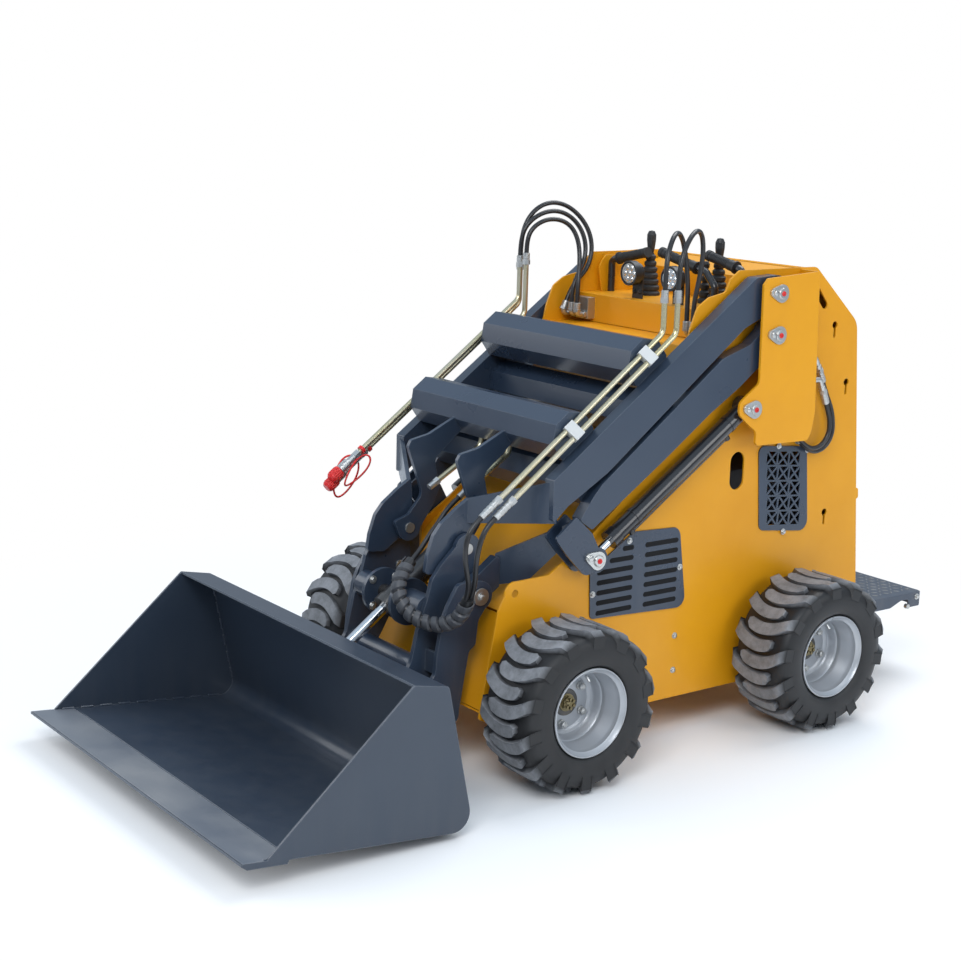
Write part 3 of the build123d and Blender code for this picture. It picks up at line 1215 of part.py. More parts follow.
# ---- hoses: straight runs joined by arcs, each as large as its two runs allow ----
HOSE_R = 7.0
BUNDLE_R = 17.0
TIPS = [tuple(Vector(*start) + way.normalized() * length) for start, way, length in FITTINGS]
PORT_ENDS = [(x, PORT_Y, HOSE_END_Z) for x, lean in PORTS]
BUNDLE_WAY = Vector(-24, 1, -52).normalized()
BUNDLE_START = Vector(322, -518, 518)
LEAD_SHIFT = Vector(0, 8.5, 0.16)
LEAD_ENDS = [BUNDLE_START - BUNDLE_WAY * FACE_GAP + shift for shift in (-LEAD_SHIFT, LEAD_SHIFT)]
HOSES = {
    "far_hose_1": (HOSE_R, [
        TIPS[3], (-362, 150, 1385), (-359, 164, 1440), (-354, 200, 1482), (-346, 250, 1500), (-337, 303, 1490),
        (-326, 350, 1456), (-314, 380, 1408), (-305, 386, 1353), (-300, 366, 1300), (-298, 330, 1268),
        (-298, 300.1, 1238), PORT_ENDS[0],
    ]),
    "far_hose_2": (HOSE_R, [
        TIPS[2], (-346, 136, 1388), (-342, 154, 1434), (-333, 198, 1466), (-322, 249, 1476), (-313, 298, 1460),
        (-303, 335, 1422), (-293, 350, 1372), (-284, 338, 1322), (-275, 306, 1282), (-271, 283, 1240),
        PORT_ENDS[1],
    ]),
    "far_hose_3": (HOSE_R, [
        TIPS[4], (-318, 138, 1392), (-314, 158, 1428), (-307, 200, 1450), (-298, 248, 1450), (-289, 288, 1428),
        (-280, 308, 1385), (-268, 306, 1337), (-254, 293, 1290), (-245, 283, 1245), PORT_ENDS[2],
    ]),
    "near_hose_1": (HOSE_R, [
        TIPS[0], (346, 103, 1356), (339, 115, 1406), (325, 142, 1444), (304, 178, 1458), (284, 214, 1440),
        (268, 242, 1400), (256, 264, 1352), (248, 278, 1300), (245, 283, 1250), PORT_ENDS[3],
    ]),
    "near_hose_2": (HOSE_R, [
        TIPS[1], (362, 137, 1358), (357, 156, 1410), (345, 190, 1448), (329, 228, 1464), (312, 262, 1450),
        (297, 284, 1410), (285, 293, 1360), (276, 291, 1306), (271, 283, 1250), PORT_ENDS[4],
    ]),
    "tower_hose_1": (HOSE_R, [
        (365, *REAR_ELBOWS[0][2]), (365, 761.2, 919.1), (365, 772, 891), (365, 772, 852), (365, 749, 821),
        (365, 712, 809), (365, 675, 821), SLEEVES[0][1],
    ]),
    "tower_hose_2": (HOSE_R, [
        (345, *REAR_ELBOWS[1][2]), (345, 771, 966.6), (345, 795, 926), (345, 808, 883), (345, 808, 841),
        (345, 783, 806), (345, 742, 793), (345, 701, 806), SLEEVES[1][1],
    ]),
    "hose_bundle": (BUNDLE_R, [
        BUNDLE_START, (298, -517, 466), (257, -539, 433), (211, -572, 430), (167, -602, 452), (132, -612, 495),
        (109, -593, 544), (97, -547, 574),
    ]),
    "bundle_lead_1": (HOSE_R, [
        TIPS[5], Vector(*TIPS[5]) + ARM_DIR * 37, (346, -547, 680), (346, -549, 636), (345, -541, 594),
        LEAD_ENDS[0] - BUNDLE_WAY * 40, LEAD_ENDS[0],
    ]),
    "bundle_lead_2": (HOSE_R, [
        TIPS[6], Vector(*TIPS[6]) + ARM_DIR * 30, (361, -508, 690), (357, -517, 650), (350, -517, 607),
        LEAD_ENDS[1] - BUNDLE_WAY * 40, LEAD_ENDS[1],
    ]),
    "bundle_lead_3": (HOSE_R, [
        (97, -547, 574), (90.4, -521.7, 590.5), (86, -499, 612), (82, -475, 638), (77, -443, 667),
        Vector(*TIPS[8]) + INNER_WAY[1] * 40, TIPS[8],
    ]),
}
for name, (round_r, points) in HOSES.items():
    points = [Vector(*point) for point in points]
    runs = [(end - start).length for start, end in zip(points, points[1:])]
    bends = []
    for i in range(1, len(points) - 1):
        turn = radians((points[i] - points[i - 1]).get_angle(points[i + 1] - points[i]))
        bends.append(0.45 * min(runs[i - 1], runs[i]) / tan(turn / 2))
    with BuildPart() as hose:
        with BuildLine():
            FilletPolyline(*points, radius=bends)
        with BuildSketch(Plane(origin=points[0], z_dir=points[1] - points[0])):
            Circle(round_r)
        sweep()
    length = hose.part.volume / (pi * round_r**2)
    print(name, "smallest bend", round(min(bends)), "length", round(length), "of", round(sum(runs)))
    hose.part.label = name
    export_step(hose.part, "parts/" + name + ".step")
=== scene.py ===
from math import atan2, cos, pi, radians, sin, tau
import bmesh
import bpy
from mathutils import Matrix, Vector, noise


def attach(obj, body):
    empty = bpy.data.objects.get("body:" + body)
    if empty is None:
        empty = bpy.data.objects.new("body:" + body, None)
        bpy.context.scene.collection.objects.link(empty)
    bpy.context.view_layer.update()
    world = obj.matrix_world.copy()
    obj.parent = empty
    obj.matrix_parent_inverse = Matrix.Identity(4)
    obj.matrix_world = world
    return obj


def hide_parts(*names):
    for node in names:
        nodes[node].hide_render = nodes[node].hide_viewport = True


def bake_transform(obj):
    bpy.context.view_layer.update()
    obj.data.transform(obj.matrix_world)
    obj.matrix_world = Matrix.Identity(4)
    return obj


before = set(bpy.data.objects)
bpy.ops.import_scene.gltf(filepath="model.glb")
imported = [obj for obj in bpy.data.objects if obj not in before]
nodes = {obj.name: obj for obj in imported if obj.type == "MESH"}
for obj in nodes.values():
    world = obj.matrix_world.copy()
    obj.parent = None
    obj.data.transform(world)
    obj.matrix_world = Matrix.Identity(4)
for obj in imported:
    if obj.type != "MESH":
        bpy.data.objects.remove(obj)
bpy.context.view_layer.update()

scene = bpy.context.scene
scene.view_settings.view_transform = "Standard"

# ---- camera, studio and floor ----
# A longish lens at eye height, at the machine's front left, with soft lamps over a pale seamless floor.
camera = bpy.data.objects.new("camera", bpy.data.cameras.new("camera"))
scene.collection.objects.link(camera)
scene.camera = camera
camera.data.sensor_width = 36.0
camera.data.lens = 66.385
azimuth, elevation, roll = radians(53.376), radians(12.118), radians(1.536)
back = Vector((sin(azimuth) * cos(elevation), -cos(azimuth) * cos(elevation), sin(elevation)))
level = Vector((cos(azimuth), sin(azimuth), 0))
rise = back.cross(level)
right = level * cos(roll) + rise * sin(roll)
upward = rise * cos(roll) - level * sin(roll)
facing_matrix = Matrix((right, upward, back)).transposed().to_4x4()
camera.matrix_world = Matrix.Translation((3.930, -3.170, 1.798)) @ facing_matrix
camera.data.clip_start, camera.data.clip_end = 0.1, 60

world = bpy.data.worlds.new("studio")
scene.world = world
world.use_nodes = True
sky = world.node_tree


def add_node(tree, kind, links=(), **settings):
    """A shader node with its settings, and its inputs linked from sockets or set to values."""
    made = tree.nodes.new("ShaderNode" + kind)
    for key, value in settings.items():
        setattr(made, key, value)
    for socket, source in dict(links).items():
        if isinstance(source, bpy.types.NodeSocket):
            tree.links.new(source, made.inputs[socket])
        else:
            made.inputs[socket].default_value = source
    return made


heading = add_node(sky, "TexCoord").outputs["Generated"]
upness = add_node(sky, "SeparateXYZ", {"Vector": heading})
halved = add_node(sky, "MapRange", {"Value": upness.outputs["Z"], "From Min": -1.0})
dome = add_node(sky, "ValToRGB", {"Fac": halved.outputs["Result"]})
for stop, position, colour in zip(dome.color_ramp.elements, (0.46, 0.90),
                                  ((0.26, 0.27, 0.29, 1), (0.66, 0.82, 1.0, 1))):
    stop.position, stop.color = position, colour
lit = sky.nodes["Background"]
sky.links.new(dome.outputs["Color"], lit.inputs["Color"])
lit.inputs["Strength"].default_value = 0.80
paper = add_node(sky, "Background", {"Color": (1, 1, 1, 1), "Strength": 1.0})
seen_ray = add_node(sky, "LightPath").outputs["Is Camera Ray"]
chosen = add_node(sky, "MixShader", {"Fac": seen_ray, 1: lit.outputs["Background"],
                                     2: paper.outputs["Background"]})
sky.links.new(chosen.outputs["Shader"], sky.nodes["World Output"].inputs["Surface"])


def softbox(name, place, target, width, power):
    """A square lamp of this width and power that faces its target."""
    lamp = bpy.data.objects.new(name, bpy.data.lights.new(name, "AREA"))
    scene.collection.objects.link(lamp)
    lamp.data.size = width
    lamp.data.energy = power
    lamp.location = place
    lamp.rotation_mode = "QUATERNION"
    lamp.rotation_quaternion = (Vector(place) - Vector(target)).to_track_quat("Z", "Y")


softbox("key_light", (3.4, -3.6, 4.6), (0, -0.2, 0.5), 2.6, 165)
softbox("fill_light", (-3.8, -3.0, 2.6), (0, -0.3, 0.6), 2.6, 42)
softbox("side_light", (4.6, 1.6, 2.6), (0, 0.2, 0.7), 2.2, 48)
softbox("top_light", (-0.5, 2.2, 5.0), (0, 0, 0.6), 3.0, 125)

bed = bmesh.new()
bmesh.ops.create_grid(bed, x_segments=1, y_segments=1, size=14)
floor = bpy.data.objects.new("floor", bpy.data.meshes.new("floor"))
bed.to_mesh(floor.data)
bed.free()
scene.collection.objects.link(floor)
ground = bpy.data.materials.new("studio_floor")
ground.use_nodes = True
floor_tree = ground.node_tree
floor_coat = floor_tree.nodes["Principled BSDF"]
for socket, value in (("Base Color", (0.93, 0.93, 0.93, 1)), ("Roughness", 0.85),
                      ("Specular IOR Level", 0.1)):
    floor_coat.inputs[socket].default_value = value
floor.data.materials.append(ground)
# away from the machine, the floor that the camera sees turns to plain white paper
floor_place = add_node(floor_tree, "TexCoord").outputs["Object"]
floor_reach = add_node(floor_tree, "VectorMath", {0: floor_place}, operation="LENGTH")
floor_fade = add_node(floor_tree, "MapRange", {"Value": floor_reach.outputs["Value"], "From Min": 0.9,
                                               "From Max": 2.6}, interpolation_type="SMOOTHSTEP")
floor_ray = add_node(floor_tree, "LightPath").outputs["Is Camera Ray"]
floor_share = add_node(floor_tree, "Math", {0: floor_fade.outputs["Result"], 1: floor_ray},
                       operation="MULTIPLY")
floor_paper = add_node(floor_tree, "Emission")
floor_mix = add_node(floor_tree, "MixShader", {"Fac": floor_share.outputs["Value"],
                                               1: floor_coat.outputs["BSDF"],
                                               2: floor_paper.outputs["Emission"]})
floor_tree.links.new(floor_mix.outputs["Shader"], floor_tree.nodes["Material Output"].inputs["Surface"])

# ---- body shell: side plates, towers and bent sheets ----
# Laser-cut and folded steel, welded at the corners and sprayed in a warm orange-yellow gloss paint.
# The coat pales at its edges and carries fine orange peel.
worn = bpy.data.node_groups.new("worn_surface", "ShaderNodeTree")
for socket, kind, value in (
    ("Base", "NodeSocketColor", (0.8, 0.5, 0.1, 1)),
    ("Shade", "NodeSocketColor", (0.6, 0.3, 0.05, 1)),
    ("Edge", "NodeSocketColor", (0.9, 0.7, 0.4, 1)),
    ("Dust", "NodeSocketColor", (0.45, 0.4, 0.33, 1)),
    ("Edge Amount", "NodeSocketFloat", 0.4),
    ("Dust Amount", "NodeSocketFloat", 0.2),
    ("Dust Height", "NodeSocketFloat", 0.6),
    ("Roughness", "NodeSocketFloat", 0.4),
    ("Spread", "NodeSocketFloat", 0.12),
    ("Grain", "NodeSocketFloat", 300.0),
):
    worn.interface.new_socket(socket, in_out="INPUT", socket_type=kind).default_value = value
worn.interface.new_socket("Color", in_out="OUTPUT", socket_type="NodeSocketColor")
worn.interface.new_socket("Roughness", in_out="OUTPUT", socket_type="NodeSocketFloat")
worn.interface.new_socket("Height", in_out="OUTPUT", socket_type="NodeSocketFloat")

given = worn.nodes.new("NodeGroupInput").outputs
place = add_node(worn, "TexCoord").outputs["Object"]
clouds = add_node(worn, "TexNoise", {"Vector": place, "Scale": 2.6, "Detail": 5.0, "Roughness": 0.6})
streak_place = add_node(worn, "Mapping", {"Vector": place, "Scale": (9.0, 9.0, 1.4)})
streaks = add_node(worn, "TexNoise", {"Vector": streak_place.outputs["Vector"], "Scale": 2.0, "Detail": 4.0})
speckle = add_node(worn, "TexNoise", {"Vector": place, "Scale": given["Grain"], "Detail": 2.0})
cloud_mask = add_node(worn, "MapRange", {"Value": clouds.outputs["Fac"], "From Min": 0.35, "From Max": 0.72})
coat = add_node(worn, "Mix", {"Factor": cloud_mask.outputs["Result"]}, data_type="RGBA")
worn.links.new(given["Base"], coat.inputs[6])
worn.links.new(given["Shade"], coat.inputs[7])
rounding = add_node(worn, "Bevel", {"Radius": 0.004}, samples=4)
facing = add_node(worn, "NewGeometry")
alike = add_node(worn, "VectorMath", {0: rounding.outputs["Normal"], 1: facing.outputs["Normal"]},
                 operation="DOT_PRODUCT")
edge_mask = add_node(worn, "MapRange", {"Value": alike.outputs["Value"], "From Min": 0.985, "From Max": 0.80})
chipped = add_node(worn, "MapRange", {"Value": clouds.outputs["Fac"], "From Min": 0.40, "From Max": 0.60,
                                      "To Min": 0.35})
edge_part = add_node(worn, "Math", {0: edge_mask.outputs["Result"], 1: chipped.outputs["Result"]},
                     operation="MULTIPLY")
edge_share = add_node(worn, "Math", {0: edge_part.outputs["Value"], 1: given["Edge Amount"]},
                      operation="MULTIPLY")
edged = add_node(worn, "Mix", {"Factor": edge_share.outputs["Value"]}, data_type="RGBA")
worn.links.new(coat.outputs[2], edged.inputs[6])
worn.links.new(given["Edge"], edged.inputs[7])
height = add_node(worn, "SeparateXYZ", {"Vector": place})
near_ground = add_node(worn, "Math", {0: height.outputs["Z"], 1: given["Dust Height"]}, operation="DIVIDE")
low_mask = add_node(worn, "MapRange", {"Value": near_ground.outputs["Value"], "From Min": 1.0,
                                       "From Max": 0.1})
streak_mask = add_node(worn, "MapRange", {"Value": streaks.outputs["Fac"], "From Min": 0.35,
                                          "From Max": 0.70})
dusty = add_node(worn, "Math", {0: low_mask.outputs["Result"], 1: streak_mask.outputs["Result"]},
                 operation="MULTIPLY")
dust_share = add_node(worn, "Math", {0: dusty.outputs["Value"], 1: given["Dust Amount"]},
                      operation="MULTIPLY")
dusted = add_node(worn, "Mix", {"Factor": dust_share.outputs["Value"]}, data_type="RGBA")
worn.links.new(edged.outputs[2], dusted.inputs[6])
worn.links.new(given["Dust"], dusted.inputs[7])
rough_swing = add_node(worn, "MapRange", {"Value": clouds.outputs["Fac"], "From Min": 0.3, "From Max": 0.7,
                                          "To Min": -1.0, "To Max": 1.0})
rough_part = add_node(worn, "Math", {0: rough_swing.outputs["Result"], 1: given["Spread"],
                                     2: given["Roughness"]}, operation="MULTIPLY_ADD")
rough_dust = add_node(worn, "Math", {0: dust_share.outputs["Value"], 1: 0.5, 2: rough_part.outputs["Value"]},
                      operation="MULTIPLY_ADD")
taken = worn.nodes.new("NodeGroupOutput").inputs
worn.links.new(dusted.outputs[2], taken["Color"])
worn.links.new(rough_dust.outputs["Value"], taken["Roughness"])
worn.links.new(speckle.outputs["Fac"], taken["Height"])


def worn_material(name, base, shade, roughness, edge=None, metallic=0.0, coat_weight=0.0, bump=0.1,
                  **amounts):
    """A finish of one base colour that drifts to a shade, with worn edges, grain and dust."""
    finish = bpy.data.materials.new(name)
    finish.use_nodes = True
    tree = finish.node_tree
    shader = tree.nodes["Principled BSDF"]
    surface = tree.nodes.new("ShaderNodeGroup")
    surface.node_tree = worn
    surface.inputs["Base"].default_value = (*base, 1)
    surface.inputs["Shade"].default_value = (*shade, 1)
    surface.inputs["Edge"].default_value = (*(edge or base), 1)
    surface.inputs["Roughness"].default_value = roughness
    for key, value in amounts.items():
        surface.inputs[key.replace("_", " ").title()].default_value = value
    tree.links.new(surface.outputs["Color"], shader.inputs["Base Color"])
    tree.links.new(surface.outputs["Roughness"], shader.inputs["Roughness"])
    relief = add_node(tree, "Bump", {"Height": surface.outputs["Height"], "Strength": bump,
                                     "Distance": 0.0006})
    rounded_edge = add_node(tree, "Bevel", {"Radius": 0.0018}, samples=4)
    tree.links.new(rounded_edge.outputs["Normal"], relief.inputs["Normal"])
    tree.links.new(relief.outputs["Normal"], shader.inputs["Normal"])
    shader.inputs["Metallic"].default_value = metallic
    shader.inputs["Coat Weight"].default_value = coat_weight
    shader.inputs["Coat Roughness"].default_value = 0.12
    return finish


def finish_nodes(material, *names):
    """Gives the named CAD nodes this material."""
    for name in names:
        mesh = nodes[name].data
        if mesh.materials:
            for index in range(len(mesh.materials)):
                mesh.materials[index] = material
        else:
            mesh.materials.append(material)


yellow = worn_material("yellow_paint", (0.80, 0.350, 0.006), (0.73, 0.305, 0.004), 0.40,
                       edge=(0.90, 0.50, 0.06), coat_weight=0.12, edge_amount=0.5, dust_amount=0.0,
                       grain=420.0, bump=0.10)
yellow.node_tree.nodes["Principled BSDF"].inputs["Specular IOR Level"].default_value = 0.35
finish_nodes(yellow, "side_plates", "tower_plates", "belly_plate", "front_panel", "hood", "rear_panel",
             "console_box", "dash_panel")


def new_piece(name, shape, material, body, smooth=None):
    """A mesh piece from a bmesh: closed, in one material, riding a body."""
    mesh = bpy.data.meshes.new(name)
    shape.to_mesh(mesh)
    shape.free()
    mesh.materials.append(material)
    piece = bpy.data.objects.new(name, mesh)
    scene.collection.objects.link(piece)
    if smooth is not None:
        mesh.shade_smooth()
        mesh.set_sharp_from_angle(angle=radians(smooth))
    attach(piece, body)
    return piece


def stand(at, way, turn=0.0):
    """The place of a shape built along Z, stood at a point with its top in this direction."""
    lean = Vector(way).to_track_quat("Z", "Y").to_matrix().to_4x4()
    return Matrix.Translation(Vector(at)) @ lean @ Matrix.Rotation(turn, 4, "Z")


def add_round(shape, at, way, radius, length, sides=24, top=None, turn=0.0):
    """A closed round or many-sided body that starts at a point and runs this way."""
    bmesh.ops.create_cone(shape, cap_ends=True, segments=sides, radius1=radius,
                          radius2=radius if top is None else top, depth=length,
                          matrix=stand(at, way, turn) @ Matrix.Translation((0, 0, length / 2)))


def add_bolt(shape, at, way, size, turn=0.3):
    """A hex bolt head of this width across corners, on its washer."""
    add_round(shape, at, way, size * 0.72, size * 0.10, 24)
    add_round(shape, Vector(at) + Vector(way) * size * 0.10, way, size * 0.5, size * 0.36, 6, turn=turn)
    add_round(shape, Vector(at) + Vector(way) * size * 0.46, way, size * 0.42, size * 0.06, 24,
              top=size * 0.3)


# ---- slate-painted steel: arms, link, head, hitch, step and body panels ----
# The working steel has a dark blue-grey satin coat, paler where pins, stones and boots rub it.
slate = worn_material("slate_paint", (0.024, 0.039, 0.068), (0.032, 0.050, 0.082), 0.33,
                      edge=(0.15, 0.18, 0.22), coat_weight=0.35, edge_amount=0.6, dust_amount=0.12,
                      grain=380.0, bump=0.15)
finish_nodes(slate, "upper_arm", "lower_link", "head", "trunnion_blocks", "hitch", "step_brackets",
             "side_grilles", "side_louvres")
bucket_coat = worn_material("bucket_coat", (0.030, 0.043, 0.066), (0.038, 0.053, 0.078), 0.35,
                            edge=(0.20, 0.22, 0.25), coat_weight=0.25, edge_amount=0.8, dust_amount=0.03,
                            dust_height=0.30, grain=420.0, bump=0.10, spread=0.06)
finish_nodes(bucket_coat, "bucket")
cast_dark = worn_material("engine_metal", (0.10, 0.10, 0.11), (0.05, 0.05, 0.055), 0.6,
                          edge=(0.2, 0.2, 0.2))
finish_nodes(cast_dark, "engine_block")
black_paint = worn_material("black_paint", (0.012, 0.012, 0.014), (0.022, 0.022, 0.024), 0.26,
                            edge=(0.08, 0.08, 0.085), coat_weight=0.5, dust_amount=0.3, bump=0.06)
finish_nodes(black_paint, "wheel_motors", "lift_barrels", "tilt_barrel", "console_tubes")
chrome = worn_material("chrome", (0.78, 0.79, 0.80), (0.70, 0.71, 0.73), 0.10, metallic=1.0, spread=0.03,
                       dust_amount=0.0, edge_amount=0.0, bump=0.0)
finish_nodes(chrome, "lift_rods", "tilt_rod")
zinc = worn_material("zinc_steel", (0.62, 0.62, 0.60), (0.46, 0.46, 0.45), 0.33, edge=(0.8, 0.8, 0.78),
                     metallic=0.9, dust_amount=0.1, bump=0.02, grain=900.0)
finish_nodes(zinc, "tower_pins", "rod_pins", "head_pins", "bulkheads", "pipe_fittings")
passivated = worn_material("passivated_pipe", (0.66, 0.58, 0.34), (0.58, 0.54, 0.44), 0.28,
                           edge=(0.8, 0.76, 0.6), metallic=0.9, dust_amount=0.0, bump=0.01, grain=900.0,
                           spread=0.04)
finish_nodes(passivated, "arm_pipes")
clamp_white = worn_material("white_plastic", (0.68, 0.69, 0.68), (0.55, 0.56, 0.55), 0.45,
                            edge=(0.8, 0.8, 0.8), bump=0.12)
finish_nodes(clamp_white, "pipe_clamps")
red_cap = worn_material("red_plastic", (0.74, 0.018, 0.018), (0.62, 0.012, 0.014), 0.38,
                        edge=(0.75, 0.2, 0.15), bump=0.08)
rubber = worn_material("black_rubber", (0.012, 0.012, 0.013), (0.022, 0.022, 0.023), 0.46,
                       edge=(0.05, 0.05, 0.05), dust_amount=0.3, bump=0.2, grain=900.0)
finish_nodes(rubber, "joystick_boots", "hand_grips")
black_plastic = worn_material("black_plastic", (0.015, 0.015, 0.016), (0.024, 0.024, 0.025), 0.35,
                              edge=(0.06, 0.06, 0.06), bump=0.12)
finish_nodes(black_plastic, "joysticks")
finish_nodes(zinc, "quick_couplers")

# ---- louvre slot shade: painted shade in the slots of both side panels ----
# Two columns of seven flat round-ended near-black pieces sit on the panel's face, shorter under its sloping
# top edge;
# they are painted shade standing in for the dark inside of the slot openings.
# near-black matte colour: painted shade for the inside of each slot, not a part of the machine
painted_slot_shade = worn_material("painted_slot_shade", (0.003, 0.003, 0.004), (0.004, 0.004, 0.005), 0.95,
                           edge=(0.006, 0.006, 0.007), edge_amount=0.0, dust_amount=0.0, bump=0.0)
slot_shade_pieces = bmesh.new()
SLOT_FOOT, SLOT_PITCH, SLOT_ROWS = 0.413, 0.029, 7
SLOT_SHADE_R, SLOT_SHADE_IN, SLOT_SHADE_OUT, SLOT_SHADE_SIDES = 0.0072, 0.3280, 0.3293, 20
# the panel's top edge slopes up from this point; each slot starts this far below it
PANEL_SLOPE_Y, PANEL_SLOPE_Z, PANEL_SLOPE, SLOPE_ROOM = -0.109, 0.535, 0.623, 0.020
for side in (1, -1):
    for start, end in ((-0.084, 0.048), (0.090, 0.216)):
        for row in range(SLOT_ROWS):
            height = SLOT_FOOT + SLOT_PITCH * row
            first = max(start, PANEL_SLOPE_Y + (height + SLOPE_ROOM - PANEL_SLOPE_Z) / PANEL_SLOPE)
            rings = []
            for depth in (SLOT_SHADE_IN, SLOT_SHADE_OUT):
                rings.append([])
                for step in range(SLOT_SHADE_SIDES):
                    angle = tau * (step + 0.5) / SLOT_SHADE_SIDES
                    middle = end - SLOT_SHADE_R if cos(angle) > 0 else first + SLOT_SHADE_R
                    rings[-1].append(slot_shade_pieces.verts.new((side * depth, middle + SLOT_SHADE_R * cos(angle),
                                                        height + SLOT_SHADE_R * sin(angle))))
                slot_shade_pieces.faces.new(rings[-1])
            for step in range(SLOT_SHADE_SIDES):
                after = (step + 1) % SLOT_SHADE_SIDES
                slot_shade_pieces.faces.new((rings[0][step], rings[0][after], rings[1][after], rings[1][step]))
bmesh.ops.recalc_face_normals(slot_shade_pieces, faces=slot_shade_pieces.faces)
# thin near-black sheets of painted shade, laid where the slots' openings look dark
new_piece("louvre_slot_shade_pieces", slot_shade_pieces, painted_slot_shade, "chassis")

# ---- bolts on the shell, its panels and its pins ----
# Zinc hex screws hold the grilles, the louvres and the rear panel; every pin's retainer has one screw and
# a red grease plug, and four screws hold each trunnion block to the head.
PANEL_FACE, SIDE_FACE = 0.3290, 0.3250
UPPER_PIN, LOWER_PIN, LIFT_PIN = (0.502, 1.284), (0.502, 1.165), (0.421, 0.957)
ROD_PIN = (-0.131, 0.584)
screws = bmesh.new()
for y, z in ((0.640, 0.558), (0.600, 0.823), (0.722, 0.800), (-0.098, 0.470), (0.226, 0.505),
             (0.030, 0.607)):
    for side in (1, -1):
        add_bolt(screws, (side * PANEL_FACE, y, z), (side, 0, 0), 0.013, turn=y * 9)
for y, z in ((0.222, 0.300), (0.222, 0.196), (0.93, 0.30), (0.93, 0.2), (-0.40, 0.30)):
    for side in (1, -1):
        add_bolt(screws, (side * SIDE_FACE, y, z), (side, 0, 0), 0.013, turn=z * 7)
for x in (-0.24, 0, 0.24):
    for y, z in ((0.990, 0.25), (0.929, 0.90)):
        add_bolt(screws, (x, y, z), (0, 1, 0.09), 0.015, turn=x)
new_piece("shell_screws", screws, zinc, "chassis", smooth=30)

for name, body, pins, out, x in (
    ("tower_pin", "chassis", (UPPER_PIN, LOWER_PIN, LIFT_PIN), 0.004, 0.4010),
    ("rod_pin", "lower_link", (ROD_PIN,), 0.012, 0.3890),
):
    heads, plugs = bmesh.new(), bmesh.new()
    for y, z in pins:
        for side in (1, -1):
            add_round(heads, (side * x, y, z), (side, 0, 0), 0.0165, 0.003, 32)
            add_round(heads, (side * (x + 0.003), y, z), (side, 0, 0), 0.0165, 0.002, 32, top=0.0145)
            add_bolt(heads, (side * x, y - 0.032, z + out), (side, 0, 0), 0.018)
            add_round(plugs, (side * (x + 0.005), y, z), (side, 0, 0), 0.0078, 0.0022, 20, top=0.0070)
            add_round(plugs, (side * (x + 0.0072), y, z), (side, 0, 0), 0.003, 0.005, 12, top=0.0022)
    new_piece(name + "_heads", heads, zinc, body, smooth=30)
    new_piece(name + "_plugs", plugs, red_cap, body, smooth=30)

TRUNNION_Y, TRUNNION_Z, SCREW_RING_R = -0.530, 0.450, 0.053
head_screws = bmesh.new()
for y, z in ((-0.412, 0.487), (-0.610, 0.185)):
    for side in (1, -1):
        add_round(head_screws, (side * 0.2340, y, z), (side, 0, 0), 0.024, 0.005, 32)
        add_bolt(head_screws, (side * 0.2390, y, z), (side, 0, 0), 0.017)
for angle in range(45, 360, 90):
    for side in (1, -1):
        add_bolt(head_screws, (side * 0.0600, TRUNNION_Y + SCREW_RING_R * cos(radians(angle)),
                               TRUNNION_Z + SCREW_RING_R * sin(radians(angle))), (-side, 0, 0), 0.016)
new_piece("head_screws", head_screws, zinc, "head", smooth=30)

# ---- wheels: lugged pneumatic tyres on pressed silver rims, each held by five bolts and a castle nut ----
# The lugs curve back from the crown to the shoulder, half a pitch apart on the two sides, with scuffed faces.
AXLE_Z, TRACK_X, FRONT_Y, REAR_Y = 0.2285, 0.462, -0.28, 0.64
tyre_rubber = bpy.data.materials.new("tyre_rubber")
tyre_rubber.use_nodes = True
tree = tyre_rubber.node_tree
surface = tree.nodes.new("ShaderNodeGroup")
surface.node_tree = worn
for key, value in (("Base", (0.012, 0.012, 0.013, 1)), ("Shade", (0.016, 0.016, 0.017, 1)),
                   ("Edge", (0.10, 0.10, 0.10, 1)), ("Dust", (0.13, 0.13, 0.13, 1)), ("Roughness", 0.52),
                   ("Dust Amount", 0.12), ("Dust Height", 0.4), ("Edge Amount", 0.0), ("Grain", 500.0)):
    surface.inputs[key].default_value = value
tread = add_node(tree, "Attribute", attribute_name="lug_face")
scuffs = add_node(tree, "TexNoise", {"Vector": add_node(tree, "TexCoord").outputs["Object"], "Scale": 24.0,
                                     "Detail": 5.0, "Roughness": 0.7})
scuffed = add_node(tree, "MapRange", {"Value": scuffs.outputs["Fac"], "From Min": 0.30, "From Max": 0.62,
                                      "To Min": 0.45, "To Max": 0.95})
face_share = add_node(tree, "Math", {0: tread.outputs["Fac"], 1: scuffed.outputs["Result"]},
                      operation="MULTIPLY")
grey = add_node(tree, "Mix", {"Factor": face_share.outputs["Value"]}, data_type="RGBA")
tree.links.new(surface.outputs["Color"], grey.inputs[6])
grey.inputs[7].default_value = (0.27, 0.28, 0.30, 1)
shader = tree.nodes["Principled BSDF"]
tree.links.new(grey.outputs[2], shader.inputs["Base Color"])
tree.links.new(surface.outputs["Roughness"], shader.inputs["Roughness"])
relief = add_node(tree, "Bump", {"Height": scuffs.outputs["Fac"], "Strength": 0.12, "Distance": 0.0012})
tree.links.new(relief.outputs["Normal"], shader.inputs["Normal"])
silver = worn_material("silver_paint", (0.47, 0.49, 0.52), (0.40, 0.42, 0.45), 0.34, edge=(0.7, 0.71, 0.72),
                       metallic=0.5, dust_amount=0.15, dust_height=0.35, bump=0.08, coat_weight=0.2)

